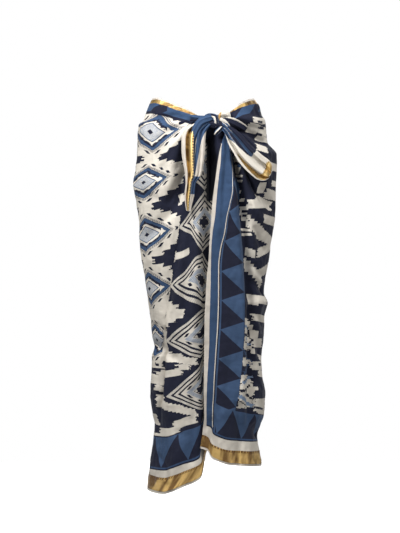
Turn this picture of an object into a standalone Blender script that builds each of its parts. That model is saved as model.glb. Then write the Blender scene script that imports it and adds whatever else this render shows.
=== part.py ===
"""A worn sarong: one rectangle of printed cotton voile with a gold ribbon along its long edges.

The cloth goes round the hips from behind and its two top corners are knotted at the front. The right-hand
free edge lies over the left-hand one, a slit stays open under the knot, and the corners hang as two tails.
Metres, +Z up, front towards -Y, +X to the right of someone looking at the front. The origin is the middle of
the waist, where the wearer holds the cloth. The tables are in millimetres and degrees.

Angles go round the body from the front centre, positive to the right. The cloth is a spiral: the over panel
starts at its free edge at the front, and the under panel ends beneath it, a full turn later.
"""

import bmesh
import bpy
import numpy as np
from mathutils import Vector

MM = 0.001
WALL = 1.5  # thickness of the cloth wall
RIBBON = 1.0  # thickness of the gold ribbon
GAP = 0.35  # between pieces that touch
SPREAD = 5.0  # how far the over panel stands out at the front, and the under panel in
SPREAD_NONE, SPREAD_FULL = 84, 34  # degrees from the front centre
SQUARENESS = 0.025  # how much the body section swells at its four corners
ROWS = 21  # rings from the waist edge to the ribbon at the hem
ROW_CROWDING = 1.3  # the rings lie closer together near the waist
BORDER_ROWS = 2  # the waist border reaches this many rings down behind the folded edge
BORDER_SELVAGE = 0.34  # share of the upstand that is above the waist ribbon
GATHER = 0.10  # share of the cloth's height that the knot draws up at the front
GATHER_REACH = 0.12
GATHER_WIDTH = 62.0  # degrees
SOLVE_STEPS = 6  # enough for the angles to settle
WIDEST_SINE = 0.99  # keeps the angle of a point at the silhouette defined

# The ribbon's place above the hem, and the cloth's height from the hem to the folded waist edge.
RIBBON_FOOT, RIBBON_TOP, CLOTH_HEIGHT = 6.5, 42.0, 1000.0

# The outline of the worn cloth: height, left, right, front and back.
OUTLINE = (
    (60, -134, 127, -80, 84),
    (38, -141, 133, -84, 90),
    (15, -150, 146, -91, 99),
    (-8, -158, 152, -97, 108),
    (-20, -162, 160, -100, 112),
    (-33, -176, 161, -103, 117),
    (-80, -181, 167, -111, 126),
    (-92, -181, 176, -113, 128),
    (-112, -181, 190, -115, 131),
    (-150, -184, 191, -117, 134),
    (-190, -190, 189, -118, 136),
    (-240, -182, 188, -118, 134),
    (-300, -177, 182, -116, 128),
    (-382, -170, 170, -111, 119),
    (-445, -161, 160, -107, 113),
    (-480, -155, 156, -105, 111),
    (-506, -151, 165, -104, 110),
    (-540, -147, 157, -103, 109),
    (-590, -140, 155, -102, 108),
    (-620, -135, 153, -101, 108),
    (-650, -143, 151, -101, 108),
    (-700, -146, 151, -102, 109),
    (-745, -149, 159, -104, 110),
    (-795, -141, 156, -104, 111),
    (-828, -134, 148, -103, 111),
    (-860, -137, 141, -103, 112),
    (-905, -143, 146, -105, 114),
    (-940, -148, 152, -107, 116),
    (-1015, -156, 158, -110, 118),
)

# The folded waist edge, the border that stands above it, and the hem of each panel: angle and height.
WAIST_EDGE = (
    (-180, -20), (-150, -8), (-120, 14), (-92, 24), (-64, 24), (-45, 17), (-30, 5), (-17, -5), (-1, -17),
    (12, -14), (25, -4), (39, 12), (61, 21), (92, 24), (120, 14), (150, -8), (180, -20),
)
UPSTAND = (
    (-180, 15), (-64, 15), (-27, 14), (-12, 9), (-1, 2), (12, 2), (25, 3), (31, 8), (40, 12), (61, 15),
    (180, 15),
)
UNDER_HEM = (
    (-180, -905), (-150, -925), (-120, -968), (-95, -994), (-70, -1005), (-44, -1010), (-34, -1004),
    (-22, -990), (-5, -967), (1, -900), (7, -884), (30, -880),
)
OVER_HEM = (
    (-10, -886), (-5, -888), (1, -893), (3, -897), (6, -912), (9, -918), (24, -932), (60, -938), (90, -938),
    (130, -925), (180, -905),
)

# The free edges at the front: height and how far across.
OVER_EDGE = (
    (0, 56), (-22, 56), (-42, 56), (-61, 50), (-82, 43), (-114, 36), (-154, 30), (-193, 25), (-233, 20),
    (-286, 16), (-339, 12), (-392, 9), (-445, 4), (-498, 1), (-550, -1), (-750, -3), (-800, -2), (-840, -6),
    (-888, -13),
)
UNDER_EDGE = (
    (0, 2), (-45, 4), (-75, 8), (-111, 13), (-140, 22), (-193, 38), (-273, 58), (-380, 76), (-600, 80),
    (-1000, 78),
)
# Near the hem the under panel turns back at the front: how deep, from what height, and where across it goes
# in and comes out again.
TURN_DEPTH, TURN_TOP, TURN_FULL = 34, -740, -880
TURN_IN, TURN_OUT = (-11, 6), (100, 60)

# The largest folds at the front: the panel, the depth (negative goes in), the half width, and the points that
# the fold runs through, as across and height.
FRONT_FOLDS = (
    ("under", -34, 26, ((10, -95), (16, -150), (17, -260), (16, -420), (14, -600), (16, -780), (22, -1000))),
    ("under", -24, 17, ((-22, -34), (-38, -80), (-51, -133), (-66, -193), (-88, -262))),
    ("under", 8, 20, ((-50, -42), (-78, -101), (-94, -167), (-112, -246))),
    ("under", -7, 12, ((-64, -280), (-77, -366), (-93, -453), (-109, -591), (-119, -737), (-125, -869))),
    ("under", 5, 14, ((-44, -280), (-55, -366), (-69, -453), (-84, -591), (-94, -737), (-101, -869))),
    ("under", -10, 18, ((-40, -201), (-87, -258), (-132, -307), (-163, -352))),
    ("under", -9, 14, ((-146, -618), (-111, -631), (-72, -663))),
    ("under", -6, 10, ((-140, -26), (-80, -21), (-24, -24))),
    ("under", 9, 18, ((-60, -850), (-80, -930), (-96, -1010))),
    ("under", -8, 13, ((-28, -700), (-34, -830), (-38, -960))),
    ("over", -22, 14, ((80, -74), (88, -140), (97, -220), (103, -299), (109, -379), (117, -472), (122, -578),
                       (122, -684), (119, -790), (112, -856))),
    ("over", 7, 15, ((60, -80), (68, -150), (78, -240), (84, -330), (90, -420), (98, -520), (99, -700),
                     (94, -830))),
    ("over", -14, 12, ((66, -26), (101, -48), (135, -69), (168, -90))),
    ("over", 9, 15, ((72, -12), (108, -24), (146, -40))),
    ("over", -12, 14, ((100, -138), (132, -188), (160, -225), (180, -262))),
    ("over", 8, 18, ((96, -96), (136, -130), (170, -165))),
    ("over", -8, 12, ((122, -446), (144, -464), (156, -476))),
    ("over", -7, 14, ((126, -566), (138, -610), (148, -655))),
    ("over", -9, 14, ((122, -826), (136, -846), (142, -862))),
    ("over", -7, 15, ((112, -262), (140, -330), (155, -392))),
    ("over", -5, 8, ((17, -800), (17, -860), (18, -940))),
    ("over", 5, 14, ((46, -780), (50, -850), (54, -950))),
    ("over", -7, 13, ((88, -760), (90, -840), (92, -950))),
)
# The same at the sides and back: depth, half width, and points as angle and height.
BACK_FOLDS = (
    (-9, 20, ((108, 10), (112, -180), (116, -420), (112, -640))),
    (-12, 22, ((136, 6), (142, -140), (146, -330), (150, -560), (148, -960))),
    (-8, 17, ((164, -20), (162, -240), (166, -470))),
    (-13, 24, ((186, -12), (184, -200), (181, -440), (184, -700), (188, -970))),
    (-8, 18, ((208, -10), (206, -170), (202, -380))),
    (-12, 22, ((228, 4), (224, -210), (220, -470), (222, -760), (218, -980))),
    (-9, 19, ((252, 10), (248, -160), (244, -360), (246, -560))),
    (8, 24, ((124, -300), (128, -560), (126, -960))),
    (9, 26, ((168, -460), (168, -700), (166, -960))),
    (9, 24, ((204, -480), (204, -740), (204, -960))),
    (8, 24, ((240, -440), (242, -700), (244, -990))),
    (-9, 18, ((262, -560), (262, -760), (260, -1000))),
    (-9, 18, ((108, -700), (106, -820), (104, -960))),
)

# The shares of a fold's length over which it rises from nothing at its start and fades at its end.
FOLD_RISE, FOLD_FADE = (-0.04, 0.18), (1.04, 0.82)
FOLD_STEPS = 10  # points on a fold's path for each row of its table

# The stretches of cloth, each a solid of its own: the angle where it ends and how many columns it has.
STRETCHES = (
    ("cloth_over_panel", 78, 20),
    ("cloth_right_back", 172, 13),
    ("cloth_left_back", 274, 14),
    ("cloth_under_panel", None, 28),
)
# The two halves of the waist border, each with its ribbon: first and last angle.
BORDERS = (("right", 25, 180), ("left", 180, 359))

# The strands of the knot: half width, half depth, and points as across, out from the body, and height.
KNOT_STRANDS = (
    ("knot", 17, 13, ((4, 5, -25), (20, 9, -29), (38, 9, -33), (54, 4, -38))),
    ("knot_band", 12, 7, ((42, 8, -10), (35, 17, -14), (28, 21, -24), (23, 20, -36), (21, 12, -47),
                          (23, 3, -52))),
    ("knot_left_gathers", 8, 6, ((-10, 4, -21), (4, 8, -18), (18, 11, -17), (32, 10, -16))),
    ("knot_cream_turn", 9, 8, ((40, 8, -12), (50, 11, -11), (58, 9, -14), (64, 5, -20))),
    ("knot_right_gathers", 9, 7, ((44, 12, -20), (55, 12, -27), (63, 9, -36), (66, 5, -46))),
    ("knot_foot", 10, 8, ((28, 10, -34), (35, 12, -44), (42, 10, -54))),
)
STRAND_SIDES, STRAND_RINGS = 12, 11
STRAND_TIP = 0.5  # how thick a strand's ends are, as a share of its middle
# Where the knot makes room for the panels: degrees and rings of them, above and behind their face.
KNOT_REACH, KNOT_RINGS, ROOM_ABOVE, ROOM_DEPTH = 50, 9, 12, 40

# The tails, a row for each place from the knot to the tip: the first and last edge as across and height, how
# far the tail stands off the body, and the share of the pleats' depth. The right one starts at its lower
# edge.
LEFT_TAIL = (
    (4, -18, 24, -30, 12, 0.0),
    (-13, -26, 17, -36, 13, 0.4),
    (-38, -38, 9, -46, 12, 0.8),
    (-57, -54, 3, -57, 11, 1.0),
    (-63, -78, 1, -78, 11, 1.0),
    (-63, -107, 0, -107, 11, 1.0),
    (-59, -137, -4, -140, 11, 1.0),
    (-54, -166, -9, -168, 11, 0.9),
    (-52, -192, -25, -192, 11, 0.7),
    (-55, -221, -29, -225, 11, 0.6),
    (-53, -246, -35, -249, 10, 0.3),
    (-50, -263, -38, -265, 9, 0.05),
)
RIGHT_TAIL = (
    (36, -44, 50, -30, 12, 0.0),
    (54, -60, 64, -38, 19, 0.5),
    (64, -88, 85, -50, 22, 0.8),
    (77, -111, 104, -67, 23, 1.0),
    (91, -134, 120, -84, 23, 1.0),
    (108, -153, 139, -103, 23, 1.0),
    (127, -170, 158, -119, 23, 1.0),
    (143, -181, 172, -129, 24, 1.0),
    (159, -184, 180, -141, 27, 0.9),
    (172, -179, 183, -157, 28, 0.6),
)
# The pleats across each tail: share of the width, and how far out of the middle.
LEFT_PLEATS = (
    (0, -1), (0.08, 4), (0.17, 5), (0.30, -5), (0.42, 4), (0.50, -3), (0.62, 6), (0.76, 0), (0.90, 4),
    (1, -1),
)
RIGHT_PLEATS = (
    (0, -2), (0.10, 3), (0.20, 2), (0.32, -4), (0.44, -3), (0.58, 3), (0.74, 6), (0.88, 3), (1, -3),
)
TAIL_STEPS = 2  # rings for each row of a tail's table
# Where each tail's ribbon lies: first and last ring, first and last column.
LEFT_TAIL_RIBBON = (5, 20, 2, 4)
RIGHT_TAIL_RIBBON = (14, 17, 0, 8)

COLOURS = {  # colour, roughness and metallic value
    "printed_voile": ((0.16, 0.19, 0.27), 0.85, 0.0),
    "plain_border": ((0.60, 0.55, 0.47), 0.85, 0.0),
    "gold_ribbon": ((0.55, 0.36, 0.14), 0.38, 0.85),
}


def smooth_curve(points):
    """A function through (place, value) pairs with smooth joins that don't overshoot."""
    places, values = np.array(sorted(points), float).T
    spans = np.diff(places)
    rises = np.diff(values) / spans
    slopes = np.concatenate([rises[:1], np.zeros(len(rises) - 1), rises[-1:]])
    same_way = np.flatnonzero(rises[:-1] * rises[1:] > 0)
    slopes[same_way + 1] = 2 / (1 / rises[same_way] + 1 / rises[same_way + 1])

    def value_at(at):
        at = np.clip(np.asarray(at, float), places[0], places[-1])
        i = np.clip(np.searchsorted(places, at) - 1, 0, len(spans) - 1)
        t = (at - places[i]) / spans[i]
        blend = t * t * (3 - 2 * t)
        start = slopes[i] * spans[i] * t * (1 - t) ** 2
        end = slopes[i + 1] * spans[i] * t * t * (t - 1)
        return values[i] + (values[i + 1] - values[i]) * blend + start + end

    return value_at


def ease(low, high, at):
    """0 at low, 1 at high, and a smooth change between."""
    t = np.clip((np.asarray(at, float) - low) / (high - low), 0, 1)
    return t * t * (3 - 2 * t)


LEFT, RIGHT, FRONT, BACK = (smooth_curve([(row[0], row[i]) for row in OUTLINE]) for i in range(1, 5))
WAIST_HEIGHT = smooth_curve(WAIST_EDGE)
UPSTAND_HEIGHT = smooth_curve(UPSTAND)
OVER_HEM_HEIGHT = smooth_curve(OVER_HEM)
UNDER_HEM_HEIGHT = smooth_curve(UNDER_HEM)
OVER_EDGE_ACROSS = smooth_curve(OVER_EDGE)
UNDER_EDGE_ACROSS = smooth_curve(UNDER_EDGE)


def from_front(angle):
    """The same angle, counted from -180 to 180."""
    return (np.asarray(angle, float) + 180) % 360 - 180


def corner_swell(turn):
    return (1 - SQUARENESS * np.cos(4 * turn)) / (1 - SQUARENESS)


def body_points(angle, height, out=0.0):
    """Points on the plain body section, and out from it along its level normal."""
    turn = np.radians(angle)
    half_width = (RIGHT(height) - LEFT(height)) / 2
    half_depth = (BACK(height) - FRONT(height)) / 2
    x = (RIGHT(height) + LEFT(height)) / 2 + half_width * corner_swell(turn) * np.sin(turn)
    y = (BACK(height) + FRONT(height)) / 2 - half_depth * corner_swell(turn) * np.cos(turn)
    out_x, out_y = np.sin(turn) / half_width, -np.cos(turn) / half_depth
    size = np.hypot(out_x, out_y)
    x, y, height = np.broadcast_arrays(x + out * out_x / size, y + out * out_y / size, height)
    return np.stack([x, y, height], axis=-1)


def angle_across(across, height, out=0.0):
    """The angle on the front of a point that is this far across and out."""
    middle = (RIGHT(height) + LEFT(height)) / 2
    reach = (RIGHT(height) - LEFT(height)) / 2 + out
    turn = np.zeros(np.broadcast(across, height).shape)
    for _ in range(SOLVE_STEPS):
        sine = (across - middle) / reach / corner_swell(turn)
        turn = np.arcsin(np.clip(sine, -WIDEST_SINE, WIDEST_SINE))
    return np.degrees(turn)


def fold_paths(panel):
    """(depth, half width, closely spaced path) of each fold that a panel has."""
    rows = list(BACK_FOLDS)
    for where, depth, width, points in reversed(FRONT_FOLDS):
        if where == panel:
            rows.insert(0, (depth, width, [(angle_across(x, z), z) for x, z in points]))
    paths = []
    for depth, width, points in rows:
        places = np.array([body_points(angle, float(height)) for angle, height in points])
        at = np.arange(len(places))
        fine = np.linspace(0, at[-1], FOLD_STEPS * at[-1] + 1)
        path = np.stack([smooth_curve(list(zip(at, column)))(fine) for column in places.T], axis=-1)
        paths.append((depth, width, path))
    return paths


FOLDS = {panel: fold_paths(panel) for panel in ("over", "under")}


def relief(places, panel):
    """How far a panel's folds push each place out."""
    moved = np.zeros(places.shape[:-1])
    for depth, width, path in FOLDS[panel]:
        away = np.linalg.norm(places[..., None, :] - path, axis=-1)
        along = away.argmin(axis=-1) / (len(path) - 1)
        ends = ease(*FOLD_RISE, along) * ease(*FOLD_FADE, along)
        moved += depth * ends * np.exp(-((away.min(axis=-1) / width) ** 2))
    if panel == "under":
        x, z = places[..., 0], places[..., 2]
        turned = ease(*TURN_IN, x) * ease(*TURN_OUT, x) * (places[..., 1] < 0)
        moved -= TURN_DEPTH * turned * ease(TURN_TOP, TURN_FULL, z) * (1 - ease(0, TURN_DEPTH, -moved))
    return moved


def height_at(angle, down):
    """The height of the cloth at an angle, where down is 0 at the folded waist edge and 1 at the hem."""
    near = from_front(angle)
    hem = np.where(np.asarray(angle) < 180, OVER_HEM_HEIGHT(near), UNDER_HEM_HEIGHT(near))
    drawn = GATHER * np.exp(-((near / GATHER_WIDTH) ** 2)) * (1 - down) ** 2
    drawn = drawn * (1 - np.exp(-down / GATHER_REACH))
    waist = WAIST_HEIGHT(near)
    return waist + (hem - waist) * (down - drawn)


def free_edge_angle(down, edge_across, turn):
    """The angle of a free edge at each ring, on the given turn of the spiral."""
    angle = np.full(down.shape, float(turn))
    for _ in range(SOLVE_STEPS):
        height = height_at(angle, down)
        angle = angle_across(edge_across(height), height) + turn
    return angle


def cloth_points(angle, height):
    """Points of the cloth's outer face. Below 180 degrees they are the over panel's."""
    near = from_front(angle)
    over = np.asarray(angle) < 180
    plain = body_points(near, height)
    folds = np.where(over, relief(plain, "over"), relief(plain, "under"))
    spread = np.where(over, SPREAD, -SPREAD) * ease(SPREAD_NONE, SPREAD_FULL, np.abs(near))
    return body_points(near, height, folds + spread)


def cloth_angles(downs):
    """The angle of each ring's points, and the column where each stretch ends."""
    start = free_edge_angle(downs, OVER_EDGE_ACROSS, 0)
    parts, seams = [start[:, None]], [0]
    for _, stop, columns in STRETCHES:
        first = parts[-1][:, -1:]
        last = free_edge_angle(downs, UNDER_EDGE_ACROSS, 360)[:, None] if stop is None else stop
        parts.append(first + (last - first) * np.arange(1, columns + 1) / columns)
        seams.append(seams[-1] + columns)
    return np.concatenate(parts, axis=1), seams


def out_of(grid):
    """The outward direction at each point of a grid whose rings go down and columns to the right."""
    normal = np.cross(np.gradient(grid, axis=0), np.gradient(grid, axis=1))
    return normal / np.linalg.norm(normal, axis=-1, keepdims=True)


def drawn_in(grid, at_start, at_end, by):
    """The grid with its first and last columns moved along the rings, towards its middle."""
    grid = grid.copy()
    for column, neighbour, wanted in ((0, 1, at_start), (-1, -2, at_end)):
        if wanted:
            step = grid[:, neighbour] - grid[:, column]
            grid[:, column] += step / np.linalg.norm(step, axis=-1, keepdims=True) * by
    return grid


def wall_solid(name, outer, inner, material):
    """A closed wall between two grids of the same shape."""
    mesh = bmesh.new()
    front, back = ([[mesh.verts.new(Vector(p) * MM) for p in row] for row in grid] for grid in (outer, inner))
    rings, columns = outer.shape[:2]
    for i in range(rings - 1):
        for j in range(columns - 1):
            for skin in (front, back):
                mesh.faces.new((skin[i][j], skin[i + 1][j], skin[i + 1][j + 1], skin[i][j + 1]))
    around = [(0, j) for j in range(columns)] + [(i, columns - 1) for i in range(1, rings)]
    around += [(rings - 1, j) for j in range(columns - 2, -1, -1)] + [(i, 0) for i in range(rings - 2, 0, -1)]
    for (i, j), (k, m) in zip(around, around[1:] + around[:1]):
        mesh.faces.new((front[i][j], front[k][m], back[k][m], back[i][j]))
    return add_object(name, mesh, material)


def add_object(name, mesh, material=None):
    bmesh.ops.triangulate(mesh, faces=mesh.faces)
    bmesh.ops.recalc_face_normals(mesh, faces=mesh.faces)
    data = bpy.data.meshes.new(name)
    mesh.to_mesh(data)
    mesh.free()
    data.shade_smooth()
    if material:
        data.materials.append(material)
    item = bpy.data.objects.new(name, data)
    bpy.context.scene.collection.objects.link(item)
    return item


def sheet_solid(name, grid, normal, out, thickness, material):
    """A wall whose outer face is this far out from a grid."""
    return wall_solid(name, grid + normal * out, grid + normal * (out - thickness), material)


def combine(item, other, operation):
    """Join or cut with another solid, which stays as a hidden guide."""
    other.hide_render = True
    other.display_type = "WIRE"
    modifier = item.modifiers.new(other.name, "BOOLEAN")
    modifier.operation = operation
    modifier.solver = "EXACT"
    modifier.object = other


def make_material(name):
    colour, roughness, metallic = COLOURS[name]
    material = bpy.data.materials.new(name)
    material.use_nodes = True
    shader = material.node_tree.nodes["Principled BSDF"]
    shader.inputs["Base Color"].default_value = (*colour, 1)
    shader.inputs["Roughness"].default_value = roughness
    shader.inputs["Metallic"].default_value = metallic
    return material


def make_wrap(materials):
    """The cloth and the ribbon along its hem. Returns the cloth's points, directions and angles."""
    ribbon = 1 - np.array([RIBBON_TOP, RIBBON_FOOT]) / CLOTH_HEIGHT
    downs = np.append(np.linspace(0, 1, ROWS) ** ROW_CROWDING * ribbon[0], [ribbon[1], 1])
    angles, seams = cloth_angles(downs)
    grid = cloth_points(angles, height_at(angles, downs[:, None]))
    normal = out_of(grid)
    for (name, stop, _), first, last in zip(STRETCHES, seams, seams[1:]):
        part = slice(first, last + 1)
        cloth = drawn_in(grid[:, part], first > 0, stop is not None, GAP / 2)
        sheet_solid(name, cloth, normal[:, part], 0, WALL, materials["printed_voile"])
        name = name.replace("cloth", "hem_ribbon")
        rings = slice(-3, -1)
        sheet_solid(name, cloth[rings], normal[rings, part], GAP + RIBBON, RIBBON, materials["gold_ribbon"])
    return grid, normal, angles


def make_borders(wrap, wrap_normal, angles, materials):
    """The border that stands up behind the folded waist edge, in two halves, each with its ribbon."""
    top = height_at(angles[0], 0.0) + UPSTAND_HEIGHT(from_front(angles[0]))
    ribbon_top = top - (top - height_at(angles[0], 0.0)) * BORDER_SELVAGE
    above = [cloth_points(angles[0], height) for height in (top, ribbon_top)]
    grid = np.concatenate([np.array(above), wrap[: BORDER_ROWS + 1]])
    normal = np.concatenate([wrap_normal[[0, 0]], wrap_normal[: BORDER_ROWS + 1]])
    for side, start, stop in BORDERS:
        first, last = (int(np.abs(angles[0] - angle).argmin()) for angle in (start, stop))
        part = slice(first, last + 1)
        border = drawn_in(grid[:, part], side == "left", side == "right", GAP / 2)
        out = -WALL - GAP
        name = f"waist_ribbon_{side}"
        sheet_solid(name, border[1:], normal[1:, part], out, RIBBON, materials["gold_ribbon"])
        name = f"waist_border_{side}"
        sheet_solid(name, border, normal[:, part], out - RIBBON - GAP, WALL, materials["plain_border"])


def strand(name, half_width, half_depth, points, material=None, grow=0.0):
    """A rolled strand of cloth along a path, thinner at its ends."""
    at = np.arange(len(points))
    share = np.linspace(0, 1, STRAND_RINGS)
    across, out, height = (smooth_curve(list(zip(at, column)))(share * at[-1]) for column in zip(*points))
    path = body_points(angle_across(across, height, out), height, out)
    ahead = np.gradient(path, axis=0)
    ahead /= np.linalg.norm(ahead, axis=-1, keepdims=True)
    side = np.cross(ahead, (0, -1, 0))
    side /= np.linalg.norm(side, axis=-1, keepdims=True)
    outward = np.cross(side, ahead)
    size = STRAND_TIP + (1 - STRAND_TIP) * np.sqrt(np.sin(np.pi * share))
    mesh = bmesh.new()
    rings = []
    for i in range(STRAND_RINGS):
        ring = []
        for turn in np.arange(STRAND_SIDES) / STRAND_SIDES * 2 * np.pi:
            wide = side[i] * np.cos(turn) * (half_width * size[i] + grow)
            deep = outward[i] * np.sin(turn) * (half_depth * size[i] + grow)
            ring.append(mesh.verts.new(Vector(path[i] + wide + deep) * MM))
        rings.append(ring)
    for ring, after in zip(rings, rings[1:]):
        for j in range(STRAND_SIDES):
            k = (j + 1) % STRAND_SIDES
            mesh.faces.new((ring[j], ring[k], after[k], after[j]))
    mesh.faces.new(rings[0])
    mesh.faces.new(rings[-1])
    return add_object(name, mesh, material)


def make_knot(wrap, angles, materials):
    """The knot: rolled strands joined, and cut to sit clear of the panels."""
    knot = None
    for name, half_width, half_depth, points in KNOT_STRANDS:
        part = strand(name, half_width, half_depth, points, materials["printed_voile"])
        if knot:
            combine(knot, part, "UNION")
        knot = knot or part
    near = np.flatnonzero(np.abs(from_front(angles[0])) < KNOT_REACH)
    rings = wrap[:KNOT_RINGS]
    for name, columns in (("over_panel_room", near[near < len(angles[0]) // 2]),
                          ("under_panel_room", near[near > len(angles[0]) // 2])):
        room = drawn_in(rings[:, columns], True, True, -2 * GAP)
        room = np.concatenate([room[:1] + (0, 0, ROOM_ABOVE), room])
        outer = room + (0, -2 * GAP, 0)
        combine(knot, wall_solid(name, outer, outer + (0, ROOM_DEPTH, 0), None), "DIFFERENCE")


def tail_points(rows, pleats):
    """A tail's outer points, ring by ring from the knot to the tip."""
    at = np.arange(len(rows))
    fine = np.linspace(0, at[-1], at[-1] * TAIL_STEPS + 1)[:, None]
    columns = (smooth_curve(list(zip(at, column)))(fine) for column in zip(*rows))
    first_x, first_z, last_x, last_z, stand_off, depth = columns
    share, pleat = np.array(pleats).T
    out = stand_off + pleat * depth
    across = first_x + (last_x - first_x) * share
    height = first_z + (last_z - first_z) * share
    return body_points(angle_across(across, height, out), height, out)


def make_tail(side, rows, pleats, ribbon, materials):
    """A pleated corner of the cloth that hangs from the knot, with its ribbon."""
    grid = tail_points(rows, pleats)
    normal = out_of(grid)
    tail = sheet_solid(f"tail_{side}", grid, normal, 0, WALL, materials["printed_voile"])
    for name, half_width, half_depth, points in KNOT_STRANDS:
        combine(tail, strand(f"{name}_room_{side}", half_width, half_depth, points, grow=GAP), "DIFFERENCE")
    rings, columns = slice(ribbon[0], ribbon[1] + 1), slice(ribbon[2], ribbon[3] + 1)
    part = grid[rings, columns]
    out = normal[rings, columns]
    sheet_solid(f"tail_ribbon_{side}", part, out, GAP + RIBBON, RIBBON, materials["gold_ribbon"])


def main():
    for item in list(bpy.data.objects):
        bpy.data.objects.remove(item)
    materials = {name: make_material(name) for name in COLOURS}
    wrap, wrap_normal, angles = make_wrap(materials)
    make_borders(wrap, wrap_normal, angles, materials)
    make_knot(wrap, angles, materials)
    make_tail("left", LEFT_TAIL, LEFT_PLEATS, LEFT_TAIL_RIBBON, materials)
    make_tail("right", RIGHT_TAIL, RIGHT_PLEATS, RIGHT_TAIL_RIBBON, materials)


main()
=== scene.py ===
"""The looks of the worn sarong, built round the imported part.

Every stretch of cloth is a fine thin sheet on the form of its solid, with the same tables and smaller creases
added. One procedural print is laid over all of it in the flat cloth's own millimetres: how far round, how far
above the hem, how far below the folded waist edge and how far from the free edge.
"""

import math
from functools import partialmethod

import bpy
import numpy as np
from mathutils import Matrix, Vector


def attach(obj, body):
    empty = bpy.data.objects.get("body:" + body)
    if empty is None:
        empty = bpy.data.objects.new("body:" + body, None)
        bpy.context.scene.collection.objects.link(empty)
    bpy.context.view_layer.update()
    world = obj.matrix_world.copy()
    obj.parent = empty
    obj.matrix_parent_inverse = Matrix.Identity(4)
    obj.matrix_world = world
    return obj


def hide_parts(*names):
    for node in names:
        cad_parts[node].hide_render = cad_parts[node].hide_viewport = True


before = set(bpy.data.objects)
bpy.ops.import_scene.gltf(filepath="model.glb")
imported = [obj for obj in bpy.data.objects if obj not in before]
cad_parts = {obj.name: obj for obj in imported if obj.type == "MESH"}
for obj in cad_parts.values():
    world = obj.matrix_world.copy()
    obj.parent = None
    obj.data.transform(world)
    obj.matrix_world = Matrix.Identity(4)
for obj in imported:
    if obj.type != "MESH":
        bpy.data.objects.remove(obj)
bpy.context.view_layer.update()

MM = 0.001
SHEET = 0.5  # thickness of the cloth
RIBBON = 0.5  # thickness of the gold ribbon
GAP = 0.3  # between pieces that touch
SEAM = GAP / 4  # between the stretches of one cloth
SPREAD = 5.0  # how far the over panel stands out at the front, and the under panel in
SPREAD_NONE, SPREAD_FULL = 84, 34  # degrees from the front centre
SQUARENESS = 0.025  # how much the body section swells at its four corners
GATHER = 0.10  # share of the cloth's height that the knot draws up at the front
GATHER_REACH = 0.12
GATHER_WIDTH = 62.0  # degrees
SOLVE_STEPS = 6  # enough for the angles to settle
WIDEST_SINE = 0.99  # keeps the angle of a point at the silhouette defined
RIBBON_FOOT, RIBBON_TOP, CLOTH_HEIGHT = 6.5, 42.0, 1000.0
FOLD_REACH = 2.6  # how many half widths a fold still counts
FOLD_STEPS = 8  # points on a fold's path for each row of its table
# The shares of a fold's length over which it rises from nothing at its start and fades at its end.
FOLD_RISE, FOLD_FADE = (-0.04, 0.18), (1.04, 0.82)
# The cloth's unevenness, large and fine: seed, size, stretch up and down, and depth.
RUMPLES = ((3, 60, 3, 1.3), (5, 17, 2.2, 0.35))
RUMPLE_WAVES, RUMPLE_LEAST, RUMPLE_SPAN = 14, 0.3, (0.6, 1.4)
RUMPLE_APART = 500  # how far the two panels' unevenness is taken apart
LANDMARK_REACH = 300.0  # how far a landmark of the print pulls
LANDMARK_SLACK = 0.02  # how much it gives way to its neighbours
PLANE_FADE = (110, 20)  # how far out the landmarks' common slant counts nothing, and all
BEHIND = 1e6  # keeps the places at the back from being taken for the nearest
FAR_OFF = 999.0  # a distance from an edge or a fold that leaves its print out

# The rings and columns of the fine sheets.
UPPER_RINGS, RIBBON_RINGS, FOOT_RINGS = 280, 12, 4
STRETCHES = (
    ("cloth_over_panel", 78, 120),
    ("cloth_right_back", 172, 72),
    ("cloth_left_back", 274, 78),
    ("cloth_under_panel", None, 158),
)

# The print, in the flat cloth's millimetres.
PERIOD, LEVEL, LEVEL_STEP = 400.0, 252.0, 148.0  # between columns, the lowest row, and between rows
UPPER_STARS, LOWER_STARS = 545.0, 335.0  # the heights where the stars change
OVER_START = 3960.0  # where round the cloth the over panel's free edge lies
# The slit: navy painted over the print as the shade of the hollow under the knot. Where round, from what
# height, and its left edge and foot on the body.
SLIT_ROUND, SLIT_FOOT, SLIT_LEFT, SLIT_LOW = (212, 480), 745.0, 5.0, -235.0
SLIT_RISE = 150  # how far above its foot its colour is taken
JAG_ROW, JAGS, CHART_JAG = 3.4, ((31, 9), (17, 5)), (40, 8)  # the ragged ends: row, length and depth
CHART_STEP, CHART_RAGGED = 9, 24  # the steps of a slanting patch, and the length that gets ragged ends
FOOT_ROUND, FOOT_TOP = (-70, 260), 366.0  # of the field charted at the foot of the under panel
CHART_WIDTH = 190.0  # of the field beside the band that is charted patch by patch
TRIANGLE_FOOT, TRIANGLE_RISE, TRIANGLE_SPAN = 73.0, 77.0, 66.0  # along the hem
# Along the free edge: where the triangles start, how deep and far apart they are, and how their sides lean.
BAND_FOOT, BAND_SPAN, BAND_STEP, BAND_LEAN = 61.0, 60.0, 76.0, (0.27, 0.73)
BAND_INNER, BAND_LINE, BAND_ON = 122.5, (121, 124), 400  # its end, the line there, and how far it runs on
UNDER_FOLD, UNDER_FOLD_BLUE = 30.0, 22  # the border that shows under the folded waist edge
BLOCK_SPAN, BLOCK_WIDTH, BLOCK_LEAN, BLOCK_END = 84, 36, 1.3, 20  # its slanting blocks
HEM_LINE = 3  # the line above the hem's triangles
HEM_SELVAGE, HEM_CREAM, EDGE_SELVAGE, EDGE_PLAIN = 7, 66, 10, 53  # where the plain stripes end
LOZENGE, STAR, STAR_STEP = (100, 74), (90, 47), 11  # half widths and half heights
STEM, BAR = (-14, 2, 15), (0, 44, 9)  # the mark on a star: from and to across, and half height
ARROW, ARROW_LIFT, ARROW_BACK = (84, 47), (-0.12, -0.05), (-150, 52)  # the arrows that take the stars' place
SMALL, SMALL_PLACE = (13, 8), 30  # the small lozenge in them
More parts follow.
